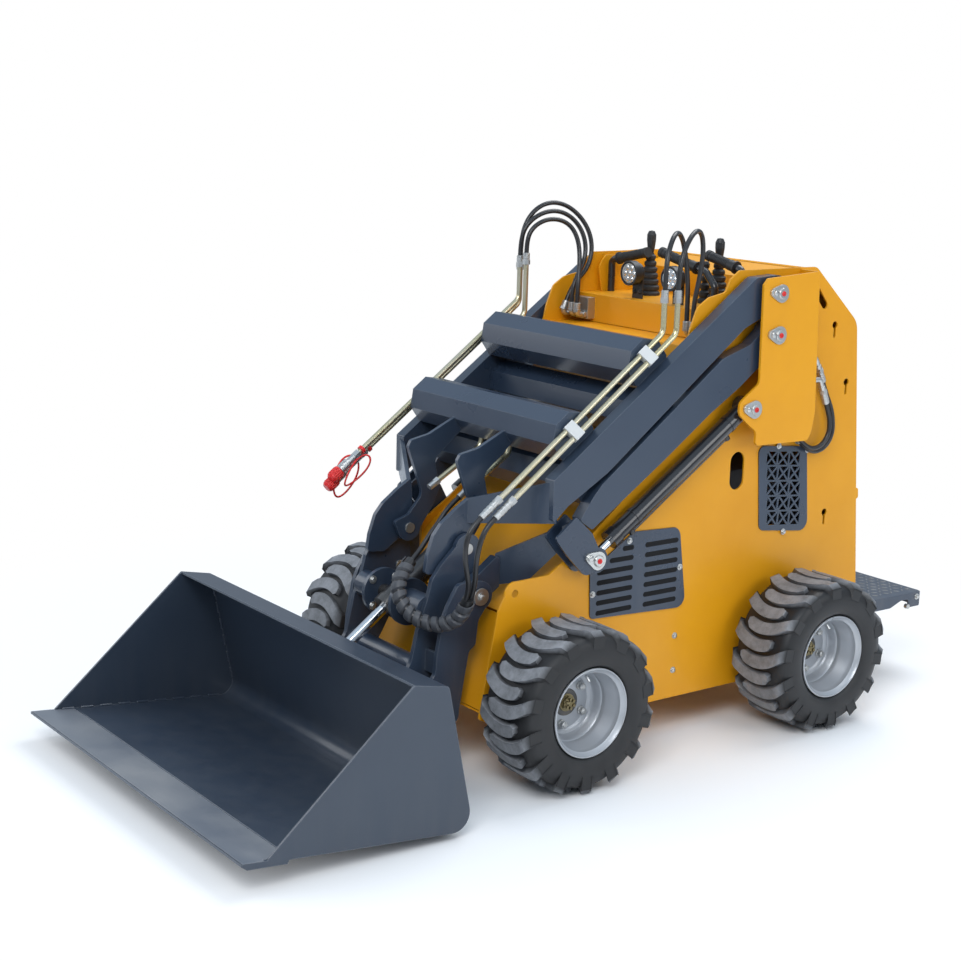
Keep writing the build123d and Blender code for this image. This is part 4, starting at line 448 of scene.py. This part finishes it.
brass = worn_material("castle_nut_brass", (0.34, 0.28, 0.13), (0.20, 0.16, 0.08), 0.38,
                      edge=(0.6, 0.5, 0.3), metallic=0.85, bump=0.02)
LUGS = 14
LUG_IN, LUG_OUT = -0.054, 0.1035
CROWN_R = 0.2278
TYRE_PROFILE = [
    (0.0880, 0.1108), (0.0880, 0.1200), (0.0905, 0.1260), (0.0955, 0.1275), (0.1000, 0.1330), (0.1035, 0.1450),
    (0.1045, 0.1620), (0.1030, 0.1800), (0.0980, 0.1960), (0.0880, 0.2060), (0.0700, 0.2110), (0.0400, 0.2135),
    (0.0, 0.2140),
]
RIM_PROFILE = [
    (0.0985, 0.1195), (0.0975, 0.1225), (0.0935, 0.1230), (0.0905, 0.1210), (0.0890, 0.1160), (0.0870, 0.1105),
    (-0.0870, 0.1105), (-0.0890, 0.1160), (-0.0905, 0.1210), (-0.0935, 0.1230), (-0.0975, 0.1225),
    (-0.0985, 0.1195), (-0.0950, 0.1140), (-0.0900, 0.1075), (-0.0300, 0.1010), (-0.0200, 0.0930),
    (-0.0170, 0.0322), (-0.0105, 0.0322), (-0.0100, 0.0720), (-0.0060, 0.0760), (-0.0050, 0.0860),
    (0.0020, 0.0920), (0.0180, 0.0950), (0.0220, 0.0990), (0.0400, 0.1000), (0.0440, 0.1035), (0.0640, 0.1045),
    (0.0680, 0.1078), (0.0860, 0.1085), (0.0895, 0.1120), (0.0930, 0.1165),
]


def turned(profile, closed, steps):
    """A body of revolution about the X axis, from points (x, radius)."""
    shape = bmesh.new()
    ring = [shape.verts.new((x, 0, r)) for x, r in profile]
    edges = [shape.edges.new(pair) for pair in zip(ring, ring[1:])]
    if closed:
        edges.append(shape.edges.new((ring[-1], ring[0])))
    bmesh.ops.spin(shape, geom=edges, cent=(0, 0, 0), axis=(1, 0, 0), angle=tau, steps=steps, use_merge=True)
    bmesh.ops.remove_doubles(shape, verts=shape.verts, dist=1e-6)
    bmesh.ops.recalc_face_normals(shape, faces=shape.faces)
    return shape


def lug_shape(shape, side, angle):
    """One lug: a thick crescent bar bent round the carcass, blunt at the crown, swept up at the shoulder."""
    bar = bmesh.new()
    bmesh.ops.create_cube(bar, size=1)
    lengthwise = [e for e in bar.edges if abs(e.verts[0].co.x - e.verts[1].co.x) > 0.5]
    bmesh.ops.subdivide_edges(bar, edges=lengthwise, cuts=13, use_grid_fill=True)
    for vert in bar.verts:
        along, across, tall = vert.co.x + 0.5, vert.co.y * 2, vert.co.z + 0.5
        x = LUG_IN + (LUG_OUT - LUG_IN) * along
        drop = max(0.0, (x - 0.088) / 0.0155)
        crown = CROWN_R - 0.0016 * (x / 0.08) ** 2 - 0.016 * drop ** 1.6
        base = 0.2080 - 0.030 * drop ** 1.5
        blunt = 1.0 - 0.62 * max(0.0, 1.0 - along / 0.10) ** 2
        half = (0.0165 + 0.0015 * along) * blunt + (0.0035 if tall < 0.5 else 0.0)
        swing = angle + 0.306 * along - 0.447 * along ** 2
        radius = crown if tall > 0.5 else base
        turn = swing + across * half / CROWN_R
        vert.co = Vector((x, -radius * sin(turn), radius * cos(turn)))
    bmesh.ops.bevel(bar, geom=[e for e in bar.edges if e.calc_face_angle(0) > 0.7], offset=0.0018, segments=2,
                    profile=0.5, affect="EDGES", material=-1)
    if side < 0:
        bmesh.ops.scale(bar, vec=(-1, 1, 1), verts=bar.verts)
    bmesh.ops.recalc_face_normals(bar, faces=bar.faces)
    part = bpy.data.meshes.new("lug")
    bar.to_mesh(part)
    bar.free()
    shape.from_mesh(part)
    bpy.data.meshes.remove(part)


for name, side, y in (("front_left", 1, FRONT_Y), ("front_right", -1, FRONT_Y), ("rear_left", 1, REAR_Y),
                      ("rear_right", -1, REAR_Y)):
    body = "wheel_" + name
    seat = Matrix.Translation((side * TRACK_X, y, AXLE_Z)) @ Matrix.Rotation(0.11 * (y + 1), 4, "X")
    if side < 0:
        seat = seat @ Matrix.Rotation(pi, 4, "Z")
    carcass = turned(TYRE_PROFILE + [(-x, r) for x, r in TYRE_PROFILE[-2::-1]], True, 96)
    for lug in range(LUGS):
        for half, shift in ((1, 0.0), (-1, 0.5)):
            lug_shape(carcass, half, (lug + shift) * tau / LUGS)
    carcass.transform(seat)
    tyre = new_piece("tread_" + name, carcass, tyre_rubber, body, smooth=52)
    shade = tyre.data.attributes.new("lug_face", "FLOAT", "POINT")
    axle = Vector((0, y, AXLE_Z))
    reach = [(Vector((0, v.co.y, v.co.z)) - axle).length for v in tyre.data.vertices]
    shade.data.foreach_set("value", [min(1.0, max(0.0, (r - 0.2195) / 0.004)) for r in reach])
    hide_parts("tyre_" + name)

    dish = turned(RIM_PROFILE, True, 96)
    dish.transform(seat)
    rim = new_piece("wheel_rim_" + name, dish, silver, body, smooth=40)
    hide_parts("rim_" + name)
    fixings = bmesh.new()
    for bolt in range(5):
        angle = 0.63 + bolt * tau / 5
        spot = (-0.0102, 0.060 * cos(angle), 0.060 * sin(angle))
        add_round(fixings, spot, (1, 0, 0), 0.0125, 0.004, 24, top=0.0108)
        add_round(fixings, spot, (1, 0, 0), 0.0100, 0.016, 6, turn=angle)
        add_round(fixings, Vector(spot) + Vector((0.016, 0, 0)), (1, 0, 0), 0.0080, 0.003, 20, top=0.0050)
    add_round(fixings, (0.0800, 0.0, 0.0985), (0.75, 0, -0.66), 0.0045, 0.016, 12, top=0.0035)
    fixings.transform(seat)
    new_piece("wheel_bolts_" + name, fixings, zinc, body, smooth=30)
    hub = bmesh.new()
    add_round(hub, (-0.0150, 0, 0), (1, 0, 0), 0.0400, 0.007, 40, top=0.0370)
    hub.transform(seat)
    new_piece("hub_seat_" + name, hub, black_paint, body, smooth=30)
    castle = bmesh.new()
    add_round(castle, (-0.0080, 0, 0), (1, 0, 0), 0.0245, 0.003, 32)
    add_round(castle, (-0.0050, 0, 0), (1, 0, 0), 0.0200, 0.010, 6)
    for notch in range(6):
        angle = (notch + 0.5) * tau / 6
        spot = (0.0050, 0.0130 * cos(angle), 0.0130 * sin(angle))
        add_round(castle, spot, (1, 0, 0), 0.0048, 0.007, 4, turn=angle)
    add_round(castle, (0.0050, 0, 0), (1, 0, 0), 0.0078, 0.004, 20, top=0.0066)
    castle.transform(seat)
    new_piece("castle_nut_" + name, castle, brass, body, smooth=30)

# ---- wheel motors: black cast hydraulic motors bolted through the side plates ----
# Each has a bolted flange, a ribbed body and a short shaft that ends inside the wheel's hub.
motors = bmesh.new()
for side in (1, -1):
    for y in (FRONT_Y, REAR_Y):
        foot = Vector((side * SIDE_FACE, y, AXLE_Z))
        way = Vector((side, 0, 0))
        add_round(motors, foot, way, 0.0940, 0.012, 64)
        add_round(motors, foot + way * 0.012, way, 0.0780, 0.098, 64, top=0.0740)
        for fin in range(4):
            add_round(motors, foot + way * (0.030 + 0.018 * fin), way, 0.0810, 0.006, 64)
        add_round(motors, foot + way * 0.110, way, 0.0300, 0.012, 40)
        for bolt in range(6):
            angle = bolt * tau / 6 + 0.3
            spot = foot + way * 0.012 + Vector((0, 0.0860 * cos(angle), 0.0860 * sin(angle)))
            add_bolt(motors, spot, way, 0.012)
motor_piece = new_piece("motor_housings", motors, black_paint, "chassis", smooth=30)
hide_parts("wheel_motors")

# ---- hydraulic hoses: black rubber on steel sleeves, from the arm's pipes to the body's blocks ----
# Each is one smooth run; the five console loops are baked to fixed tubes where they hang.
hose_rubber = worn_material("hose_rubber", (0.011, 0.011, 0.012), (0.020, 0.020, 0.022), 0.38,
                            edge=(0.04, 0.04, 0.04), coat_weight=0.20, dust_amount=0.0, bump=0.25,
                            grain=1400.0)


def hose_line(name, points):
    """The smooth line that a hose follows, from its route's points in metres."""
    line = bpy.data.curves.new(name, "CURVE")
    line.dimensions = "3D"
    line.resolution_u = 14
    line.use_fill_caps = True
    route = line.splines.new("NURBS")
    route.points.add(len(points) - 1)
    for point, spot in zip(route.points, points):
        point.co = (*spot, 1)
    route.order_u = 3
    route.use_endpoint_u = True
    hose = bpy.data.objects.new(name, line)
    scene.collection.objects.link(hose)
    return hose


def line_points(hose):
    """The points that a hose's line passes through, read from its smooth curve."""
    thick = hose.data.bevel_depth
    hose.data.bevel_depth = 0
    bpy.context.view_layer.update()
    trace = bpy.data.meshes.new_from_object(hose.evaluated_get(bpy.context.evaluated_depsgraph_get()))
    spots = [vert.co.copy() for vert in trace.vertices]
    bpy.data.meshes.remove(trace)
    hose.data.bevel_depth = thick
    return spots


HOSE_D = 0.014
LOOPS = {
    "far_hose_1": (0.630, [
        (-0.362, 0.150, 1.330), (-0.362, 0.150, 1.385), (-0.359, 0.164, 1.440), (-0.354, 0.200, 1.482),
        (-0.346, 0.250, 1.500), (-0.337, 0.303, 1.490), (-0.326, 0.350, 1.456), (-0.314, 0.380, 1.408),
        (-0.305, 0.386, 1.353), (-0.300, 0.366, 1.300), (-0.298, 0.330, 1.268), (-0.298, 0.3001, 1.238),
        (-0.298, 0.283, 1.200)]),
    "far_hose_2": (0.550, [
        (-0.346, 0.136, 1.340), (-0.346, 0.136, 1.388), (-0.342, 0.154, 1.434), (-0.333, 0.198, 1.466),
        (-0.322, 0.249, 1.476), (-0.313, 0.298, 1.460), (-0.303, 0.335, 1.422), (-0.293, 0.350, 1.372),
        (-0.284, 0.338, 1.322), (-0.275, 0.306, 1.282), (-0.271, 0.283, 1.240), (-0.271, 0.283, 1.200)]),
    "far_hose_3": (0.461, [
        (-0.318, 0.138, 1.350), (-0.318, 0.138, 1.392), (-0.314, 0.158, 1.428), (-0.307, 0.200, 1.450),
        (-0.298, 0.248, 1.450), (-0.289, 0.288, 1.428), (-0.280, 0.308, 1.385), (-0.268, 0.306, 1.337),
        (-0.254, 0.293, 1.290), (-0.245, 0.283, 1.245), (-0.245, 0.283, 1.200)]),
    "near_hose_1": (0.496, [
        (0.346, 0.103, 1.305), (0.346, 0.103, 1.356), (0.339, 0.115, 1.406), (0.325, 0.142, 1.444),
        (0.304, 0.178, 1.458), (0.284, 0.214, 1.440), (0.268, 0.242, 1.400), (0.256, 0.264, 1.352),
        (0.248, 0.278, 1.300), (0.245, 0.283, 1.250), (0.245, 0.283, 1.200)]),
    "near_hose_2": (0.502, [
        (0.362, 0.137, 1.305), (0.362, 0.137, 1.358), (0.357, 0.156, 1.410), (0.345, 0.190, 1.448),
        (0.329, 0.228, 1.464), (0.312, 0.262, 1.450), (0.297, 0.284, 1.410), (0.285, 0.293, 1.360),
        (0.276, 0.291, 1.306), (0.271, 0.283, 1.250), (0.271, 0.283, 1.200)]),
}
for name, (length, points) in LOOPS.items():
    line = hose_line(name + "_line", points)
    path = line_points(line)
    line.data.bevel_depth = HOSE_D / 2
    line.data.bevel_resolution = 5
    bpy.context.view_layer.update()
    tube = bpy.data.meshes.new_from_object(line.evaluated_get(bpy.context.evaluated_depsgraph_get()))
    bpy.data.objects.remove(line)
    tube.name = name + "_tube"
    tube.materials.clear()
    tube.materials.append(hose_rubber)
    tube.shade_smooth()
    loop = bpy.data.objects.new(name + "_tube", tube)
    scene.collection.objects.link(loop)
    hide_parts(name)
    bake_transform(loop)

STILL_HOSES = {
    "tower_hose_1": ("chassis", 0.247, [
        (0.365, 0.7503, 0.944), (0.365, 0.7612, 0.9191), (0.365, 0.772, 0.891), (0.365, 0.772, 0.852),
        (0.365, 0.749, 0.821), (0.365, 0.712, 0.809), (0.365, 0.675, 0.821), (0.365, 0.645, 0.845)]),
    "tower_hose_2": ("chassis", 0.345, [
        (0.345, 0.7513, 1.006), (0.345, 0.771, 0.9666), (0.345, 0.795, 0.926), (0.345, 0.808, 0.883),
        (0.345, 0.808, 0.841), (0.345, 0.783, 0.806), (0.345, 0.742, 0.793), (0.345, 0.701, 0.806),
        (0.345, 0.668, 0.832)]),
    "bundle_lead_1": ("upper_arm", 0.245, [
        (0.346, -0.5009, 0.7393), (0.346, -0.5306, 0.7172), (0.346, -0.547, 0.680), (0.346, -0.549, 0.636),
        (0.345, -0.541, 0.594), (0.3388, -0.5272, 0.5542), (0.322, -0.5265, 0.5179)]),
    "bundle_lead_2": ("upper_arm", 0.242, [
        (0.362, -0.4669, 0.7371), (0.362, -0.491, 0.7192), (0.361, -0.508, 0.690), (0.357, -0.517, 0.650),
        (0.350, -0.517, 0.607), (0.3388, -0.5102, 0.5545), (0.322, -0.5095, 0.5182)]),
    "bundle_lead_3": ("upper_arm", 0.233, [
        (0.097, -0.547, 0.574), (0.0904, -0.5217, 0.5905), (0.086, -0.499, 0.612), (0.082, -0.475, 0.638),
        (0.077, -0.443, 0.667), (0.072, -0.4082, 0.7046), (0.072, -0.3745, 0.7261)]),
}
for name, (body, length, points) in STILL_HOSES.items():
    hose = hose_line(name + "_tube", points)
    hose.data.bevel_depth = HOSE_D / 2
    hose.data.bevel_resolution = 5
    hose.data.materials.append(hose_rubber)
    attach(hose, body)
    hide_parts(name)

# ---- hose bundle: two hoses in a black spiral guard that hangs across the head ----
# The guard is a flat plastic strip wound round the hoses; narrow gaps between its turns show the hoses.
BUNDLE_R = 0.017
BUNDLE = [
    (0.322, -0.518, 0.518), (0.298, -0.517, 0.466), (0.257, -0.539, 0.433), (0.211, -0.572, 0.430),
    (0.167, -0.602, 0.452), (0.132, -0.612, 0.495), (0.109, -0.593, 0.544), (0.097, -0.547, 0.574),
]
bundle = hose_line("bundle_sleeve", BUNDLE)
trail = line_points(bundle)
bundle.data.bevel_depth = BUNDLE_R - 0.0012
bundle.data.bevel_resolution = 6
bundle.data.materials.append(hose_rubber)
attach(bundle, "upper_arm")
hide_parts("hose_bundle")
STRIP_PITCH, STRIP_WIDTH, STRIP_T, STRIP_STEPS = 0.0270, 0.0215, 0.0030, 28
reach = [0.0]
for start, end in zip(trail, trail[1:]):
    reach.append(reach[-1] + (end - start).length)
frames, normal = [], Vector((0, 0, 1))
for index, spot in enumerate(trail):
    along = (trail[min(index + 1, len(trail) - 1)] - trail[max(index - 1, 0)]).normalized()
    normal = (normal - along * normal.dot(along)).normalized()
    frames.append((spot, normal.copy(), along.cross(normal)))
turns = int((reach[-1] - STRIP_WIDTH) / STRIP_PITCH * STRIP_STEPS)
strip = bmesh.new()
bmesh.ops.create_grid(strip, x_segments=1, y_segments=4, size=0.5,
                      matrix=Matrix.Translation((BUNDLE_R + STRIP_T * 0.9, 0, STRIP_WIDTH / 2)) @
                      Matrix.Rotation(pi / 2, 4, "X") @ Matrix.Diagonal((STRIP_T, STRIP_WIDTH, 1, 1)))
bmesh.ops.spin(strip, geom=strip.verts[:] + strip.edges[:] + strip.faces[:], cent=(0, 0, 0), axis=(0, 0, 1),
               dvec=(0, 0, STRIP_PITCH / STRIP_STEPS), angle=turns * tau / STRIP_STEPS, steps=turns)
for vert in strip.verts:
    inside = min(max(vert.co.z, 0.0), reach[-1] - 1e-5)
    index = max(i for i, distance in enumerate(reach[:-1]) if distance <= inside)
    share = (inside - reach[index]) / (reach[index + 1] - reach[index])
    middle, ahead, beside = (a.lerp(b, share) for a, b in zip(frames[index], frames[index + 1]))
    crowned = 1.0 - 0.05 * (abs(((vert.co.z / STRIP_PITCH - atan2(vert.co.y, vert.co.x) / tau) % 1.0)
                                * STRIP_PITCH / STRIP_WIDTH - 0.5) * 2) ** 4
    vert.co = middle + (ahead * vert.co.x + beside * vert.co.y) * crowned
bmesh.ops.recalc_face_normals(strip, faces=strip.faces)
guard_plastic = worn_material("guard_plastic", (0.050, 0.053, 0.060), (0.066, 0.070, 0.080), 0.42,
                              edge=(0.12, 0.12, 0.13), edge_amount=0.8, dust_amount=0.0, bump=0.2,
                              grain=700.0)
guard = new_piece("bundle_guard", strip, guard_plastic, "upper_arm", smooth=40)

# ---- sleeves and nuts where hoses meet pipes, and the cylinders' feed lines ----
# Pressed zinc sleeves have three or four crimp rings; below each lift barrel a thin black line feeds the
# rod end.
ARM_WAY = Vector((0, -0.803152, -0.595774))
crimps = bmesh.new()
for at, way, spacing in (
    ((0.346, 0.103, 1.284), (0, 0, 1), 0.005), ((0.362, 0.137, 1.284), (0, 0, 1), 0.005),
    ((-0.346, 0.136, 1.319), (0, 0, 1), 0.005), ((-0.362, 0.150, 1.309), (0, 0, 1), 0.005),
    ((-0.318, 0.138, 1.329), (0, 0, 1), 0.005),
    ((0.346, -0.4519, 0.7757), ARM_WAY, 0.012), ((0.362, -0.4179, 0.7735), ARM_WAY, 0.012),
):
    for ring in range(4):
        add_round(crimps, Vector(at) + Vector(way) * spacing * ring, way, 0.0106, spacing * 0.55, 28)
new_piece("arm_sleeve_rings", crimps, zinc, "upper_arm", smooth=30)
crimps = bmesh.new()
for x, lean in ((-0.298, 0.45), (-0.271, 0), (-0.245, 0), (0.245, 0), (0.271, 0)):
    way = Vector((0, lean, 1)).normalized()
    foot = Vector((x, 0.283, 1.200)) - way * 0.024
    add_round(crimps, foot - way * 0.004, way, 0.0125, 0.009, 6)
    for ring in range(3):
        add_round(crimps, foot + way * (0.008 + 0.0052 * ring), way, 0.0112, 0.003, 28)
    add_round(crimps, (x, 0.3145, 1.164), (0, -1, 0), 0.0125, 0.010, 6)
for start, end in (
    ((0.365, 0.7283, 0.9943), (0.365, 0.7503, 0.944)), ((0.345, 0.7267, 1.0552), (0.345, 0.7513, 1.006)),
    ((0.365, 0.600, 0.881), (0.365, 0.645, 0.845)), ((0.345, 0.600, 0.8856), (0.345, 0.668, 0.832)),
):
    way = (Vector(end) - Vector(start)).normalized()
    add_round(crimps, Vector(end) - way * 0.046, way, 0.0128, 0.010, 6)
    for ring in range(4):
        add_round(crimps, Vector(end) - way * (0.032 - 0.008 * ring), way, 0.0112, 0.0045, 28)
for y, z in ((0.6700, 1.018), (0.6675, 1.080)):
    add_round(crimps, (0.365 if z < 1.05 else 0.345, y, z), (0, 1, 0.04), 0.0135, 0.010, 6)
new_piece("block_sleeve_rings", crimps, zinc, "chassis", smooth=30)

LIFT_WAY = Vector((0, -0.828577, -0.559876))
LIFT_DOWN = Vector((0, -LIFT_WAY.z, LIFT_WAY.y))
feed = bmesh.new()
for side in (1, -1):
    foot = Vector((side * 0.356, 0.421, 0.957))
    low = foot + LIFT_DOWN * 0.0330
    add_round(feed, low + LIFT_WAY * 0.100, LIFT_WAY, 0.0045, 0.420, 16)
    for reach in (0.100, 0.515):
        add_round(feed, foot + LIFT_WAY * reach + LIFT_DOWN * 0.020, LIFT_DOWN, 0.0095, 0.018, 20)
        add_round(feed, foot + LIFT_WAY * (reach - 0.006) + LIFT_DOWN * 0.0330, LIFT_WAY, 0.0078, 0.014, 6)
    for reach in (0.070, 0.480):
        add_round(feed, foot + LIFT_WAY * reach, LIFT_WAY, 0.0265, 0.012, 48)
new_piece("feed_lines", feed, black_paint, "lift_barrels", smooth=35)

# ---- quick couplers: zinc plugs on the two far pipes, closed by red moulded caps on moulded straps ----
# Each plug is turned, with five grip rings, and a ribbed cap pushes over its end; the straps are thin loops.
coupler_bodies, caps = bmesh.new(), bmesh.new()
for start, length in (((-0.346, -0.4395, 0.7823), 0.112), ((-0.362, -0.4067, 0.7818), 0.158)):
    start = Vector(start)
    add_round(coupler_bodies, start - ARM_WAY * 0.004, ARM_WAY, 0.0135, 0.020, 6)
    add_round(coupler_bodies, start + ARM_WAY * 0.016, ARM_WAY, 0.0108, length - 0.040, 32)
    add_round(coupler_bodies, start + ARM_WAY * (length - 0.070), ARM_WAY, 0.0150, 0.032, 32)
    for ring in range(5):
        groove = start + ARM_WAY * (length - 0.068 + 0.006 * ring)
        add_round(coupler_bodies, groove, ARM_WAY, 0.0158, 0.003, 32)
    cap = start + ARM_WAY * (length - 0.036)
    add_round(caps, cap, ARM_WAY, 0.0178, 0.032, 36)
    add_round(caps, cap + ARM_WAY * 0.032, ARM_WAY, 0.0178, 0.006, 36, top=0.0130)
    for rib in range(18):
        turn = rib * tau / 18
        spoke = Vector((cos(turn), -ARM_WAY.z * -sin(turn), -ARM_WAY.y * sin(turn))) * 0.0178
        add_round(caps, cap + ARM_WAY * 0.004 + spoke, ARM_WAY, 0.0014, 0.024, 8)
    add_round(caps, start - ARM_WAY * 0.022, ARM_WAY, 0.0125, 0.010, 32)
plugs_piece = new_piece("coupler_plugs", coupler_bodies, zinc, "upper_arm", smooth=35)
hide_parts("quick_couplers")
new_piece("coupler_caps", caps, red_cap, "upper_arm", smooth=35)
for number, (centre, high, wide, swing) in enumerate((
    ((-0.372, -0.466, 0.712), 0.064, 0.036, 0.45), ((-0.330, -0.452, 0.736), 0.056, 0.022, 0.80)), 1):
    strap = bmesh.new()
    bmesh.ops.create_circle(strap, segments=10, radius=0.0030, matrix=Matrix.Translation((1.0, 0, 0)) @
                            Matrix.Rotation(pi / 2, 4, "X"))
    bmesh.ops.spin(strap, geom=strap.edges[:], cent=(0, 0, 0), axis=(0, 0, 1), angle=tau, steps=64,
                   use_merge=True)
    bmesh.ops.remove_doubles(strap, verts=strap.verts, dist=1e-6)
    for vert in strap.verts:
        flat = Vector((vert.co.x, vert.co.y))
        thick = flat.length - 1.0
        way = flat.normalized()
        vert.co = Vector((0.006 * sin(2 * atan2(way.y, way.x)) + vert.co.z, way.x * (wide + thick),
                          way.y * (high + thick)))
    strap.transform(Matrix.Translation(centre) @ Matrix.Rotation(-swing, 4, "X"))
    bmesh.ops.recalc_face_normals(strap, faces=strap.faces)
    new_piece(f"cap_strap_{number}", strap, red_cap, "upper_arm", smooth=60)

# ---- lamps: black housings with a clear lens over seven bright reflector cups ----
# Six cups ring a seventh. Each housing has cooling fins at its back, and two screws hold its bracket.
LAMP_X, LAMP_Z = 0.090, 1.302
finish_nodes(black_plastic, "lamps")
lens_clear = bpy.data.materials.new("lamp_lens")
lens_clear.use_nodes = True
shader = lens_clear.node_tree.nodes["Principled BSDF"]
tree = lens_clear.node_tree
lens_place = add_node(tree, "TexCoord").outputs["Object"]
facets = add_node(tree, "TexVoronoi", {"Vector": lens_place, "Scale": 180.0})
tint = add_node(tree, "MapRange", {"Value": facets.outputs["Distance"], "From Max": 0.7, "To Min": 0.95,
                                   "To Max": 0.62})
tree.links.new(tint.outputs["Result"], shader.inputs["Base Color"])
shader.inputs["Metallic"].default_value = 0.85
shader.inputs["Roughness"].default_value = 0.16
shader.inputs["Coat Weight"].default_value = 0.8
cups, lenses = bmesh.new(), bmesh.new()
for x in (LAMP_X, -LAMP_X):
    add_round(lenses, (x, 0.3542, LAMP_Z), (0, -1, 0), 0.0308, 0.0030, 48, top=0.0298)
    for cup in range(7):
        angle = cup * tau / 6
        spread = 0.0195 if cup < 6 else 0.0
        spot = Vector((x + spread * cos(angle), 0.3512, LAMP_Z + spread * sin(angle)))
        add_round(lenses, spot, (0, -1, 0), 0.0092, 0.0018, 24, top=0.0074)
        add_round(lenses, spot + Vector((0, -0.0018, 0)), (0, -1, 0), 0.0040, 0.0012, 16, top=0.0022)
    for fin in range(5):
        bmesh.ops.create_cube(cups, size=1, matrix=Matrix.Translation((x, 0.3800, 1.284 + 0.009 * fin)) @
                              Matrix.Diagonal((0.050, 0.014, 0.0028, 1)))
    add_bolt(cups, (x + 0.012, 0.3885, 1.245), (0, -1, 0), 0.012)
    add_bolt(cups, (x - 0.012, 0.3885, 1.245), (0, -1, 0), 0.012)
new_piece("lamp_cups", lenses, lens_clear, "chassis", smooth=30)
new_piece("lamp_fins", cups, black_plastic, "chassis", smooth=30)

# ---- operator's grips: ribbed rubber sleeves with end flanges ----
# They are moulded and pushed over the ends of the console's bent tubes; the ribs are raised rings.
ribs = bmesh.new()
for start, end in (
    ((-0.253, 0.452, 1.330), (-0.121, 0.452, 1.359)), ((0.262, 0.452, 1.346), (0.142, 0.452, 1.372)),
    ((0.130, 0.424, 1.334), (-0.029, 0.424, 1.368)),
):
    way = (Vector(end) - Vector(start)).normalized()
    reach = (Vector(end) - Vector(start)).length
    for rib in range(int((reach - 0.050) / 0.006)):
        add_round(ribs, Vector(start) + way * (0.034 + 0.006 * rib), way, 0.0149, 0.0028, 32)
new_piece("grip_ribs", ribs, rubber, "chassis", smooth=30)

# ---- folding step: chequered slate plate, its raised lozenges rubbed bright ----
# It turns on a hinge bolt at each side; a latch button and a screw sit near the back of each side flange.
finish_nodes(slate, "step_platform")
lozenges = bmesh.new()
for row in range(11):
    for column in range(22):
        x = -0.278 + 0.556 * (column + 0.5) / 22
        y = 1.034 + 0.286 * (row + 0.5) / 11
        lean = Matrix.Rotation(radians(45 if (row + column) % 2 else -45), 4, "Z")
        squeeze = Matrix.Diagonal((0.021, 0.0065, 0.0014, 1))
        bmesh.ops.create_cone(lozenges, cap_ends=True, segments=8, radius1=0.5, radius2=0.36, depth=1,
                              matrix=Matrix.Translation((x, y, 0.2686)) @ lean @ squeeze)
rubbed = worn_material("step_lozenges", (0.22, 0.23, 0.24), (0.10, 0.11, 0.12), 0.38, edge=(0.5, 0.5, 0.5),
                       metallic=0.5, dust_amount=0.2)
new_piece("step_lozenges", lozenges, rubbed, "step", smooth=30)
latch = bmesh.new()
for side in (1, -1):
    add_round(latch, (side * 0.3005, 1.262, 0.2260), (side, 0, 0), 0.008, 0.012, 20)
    add_bolt(latch, (side * 0.3000, 1.315, 0.2500), (side, 0, 0), 0.014)
new_piece("step_latch", latch, zinc, "step", smooth=30)
hinge = bmesh.new()
for side in (1, -1):
    add_bolt(hinge, (side * 0.3130, 1.024, 0.246), (side, 0, 0), 0.020)
new_piece("step_hinge_bolts", hinge, zinc, "chassis", smooth=30)

# ---- bucket: stitch welds along its side plates, and the wear strip's seam behind the lip ----
# Short fillet beads join the floor and back to each side plate inside; the strip is welded all along.
LIP, HEEL, TOP = Vector((0, -1.350, 0.078)), Vector((0, -0.694, 0.015)), Vector((0, -0.77836, 0.407))
floor_way = (HEEL - LIP).normalized()
back_way = (TOP - HEEL).normalized()
BEAD_X, BEAD_R, SEAM_HALF = 0.6010, 0.0042, 0.596
welds = bmesh.new()
for side in (1, -1):
    for bead in range(9):
        foot = LIP + Vector((side * BEAD_X, 0, 0.0075)) + floor_way * (0.090 + 0.058 * bead)
        add_round(welds, foot, floor_way, BEAD_R, 0.036, 10)
    for bead in range(6):
        foot = HEEL + Vector((side * BEAD_X, -0.0075, 0)) + back_way * (0.062 + 0.054 * bead)
        add_round(welds, foot, back_way, BEAD_R, 0.034, 10)
seam = LIP + Vector((-SEAM_HALF, 0, 0)) + floor_way * 0.1290 + Vector((0, 0, 0.0068))
add_round(welds, seam, (1, 0, 0), 0.0030, 2 * SEAM_HALF, 10)
for ripple in welds.verts:
    ripple.co += Vector((0, 0, 0.0004 * noise.noise(ripple.co * 160)))
new_piece("bucket_welds", welds, bucket_coat, "bucket", smooth=60)
lip_steel = worn_material("lip_steel", (0.15, 0.17, 0.205), (0.26, 0.265, 0.275), 0.38,
                          edge=(0.42, 0.43, 0.44), metallic=0.2, edge_amount=1.0, dust_amount=0.0,
                          bump=0.15, spread=0.12)
strip = bmesh.new()
outline = (
    (-0.6080, 0.004), (0.6080, 0.004), (0.6080, 0.060), (0.600, 0.061), (0.600, 0.127), (-0.600, 0.127),
    (-0.600, 0.061), (-0.6080, 0.060),
)
for height in (0.0050, 0.0069):
    ring = [strip.verts.new(LIP + Vector((x, 0, height)) + floor_way * way) for x, way in outline]
    strip.faces.new(ring)
strip.verts.ensure_lookup_table()
corners = len(outline)
for corner in range(corners):
    after = (corner + 1) % corners
    strip.faces.new([strip.verts[i] for i in (corner, after, after + corners, corner + corners)])
bmesh.ops.recalc_face_normals(strip, faces=strip.faces)
new_piece("wear_strip", strip, lip_steel, "bucket")

# ---- the whole machine: every CAD node has its finish ----
for node in nodes.values():
    assert node.data.materials, node.name
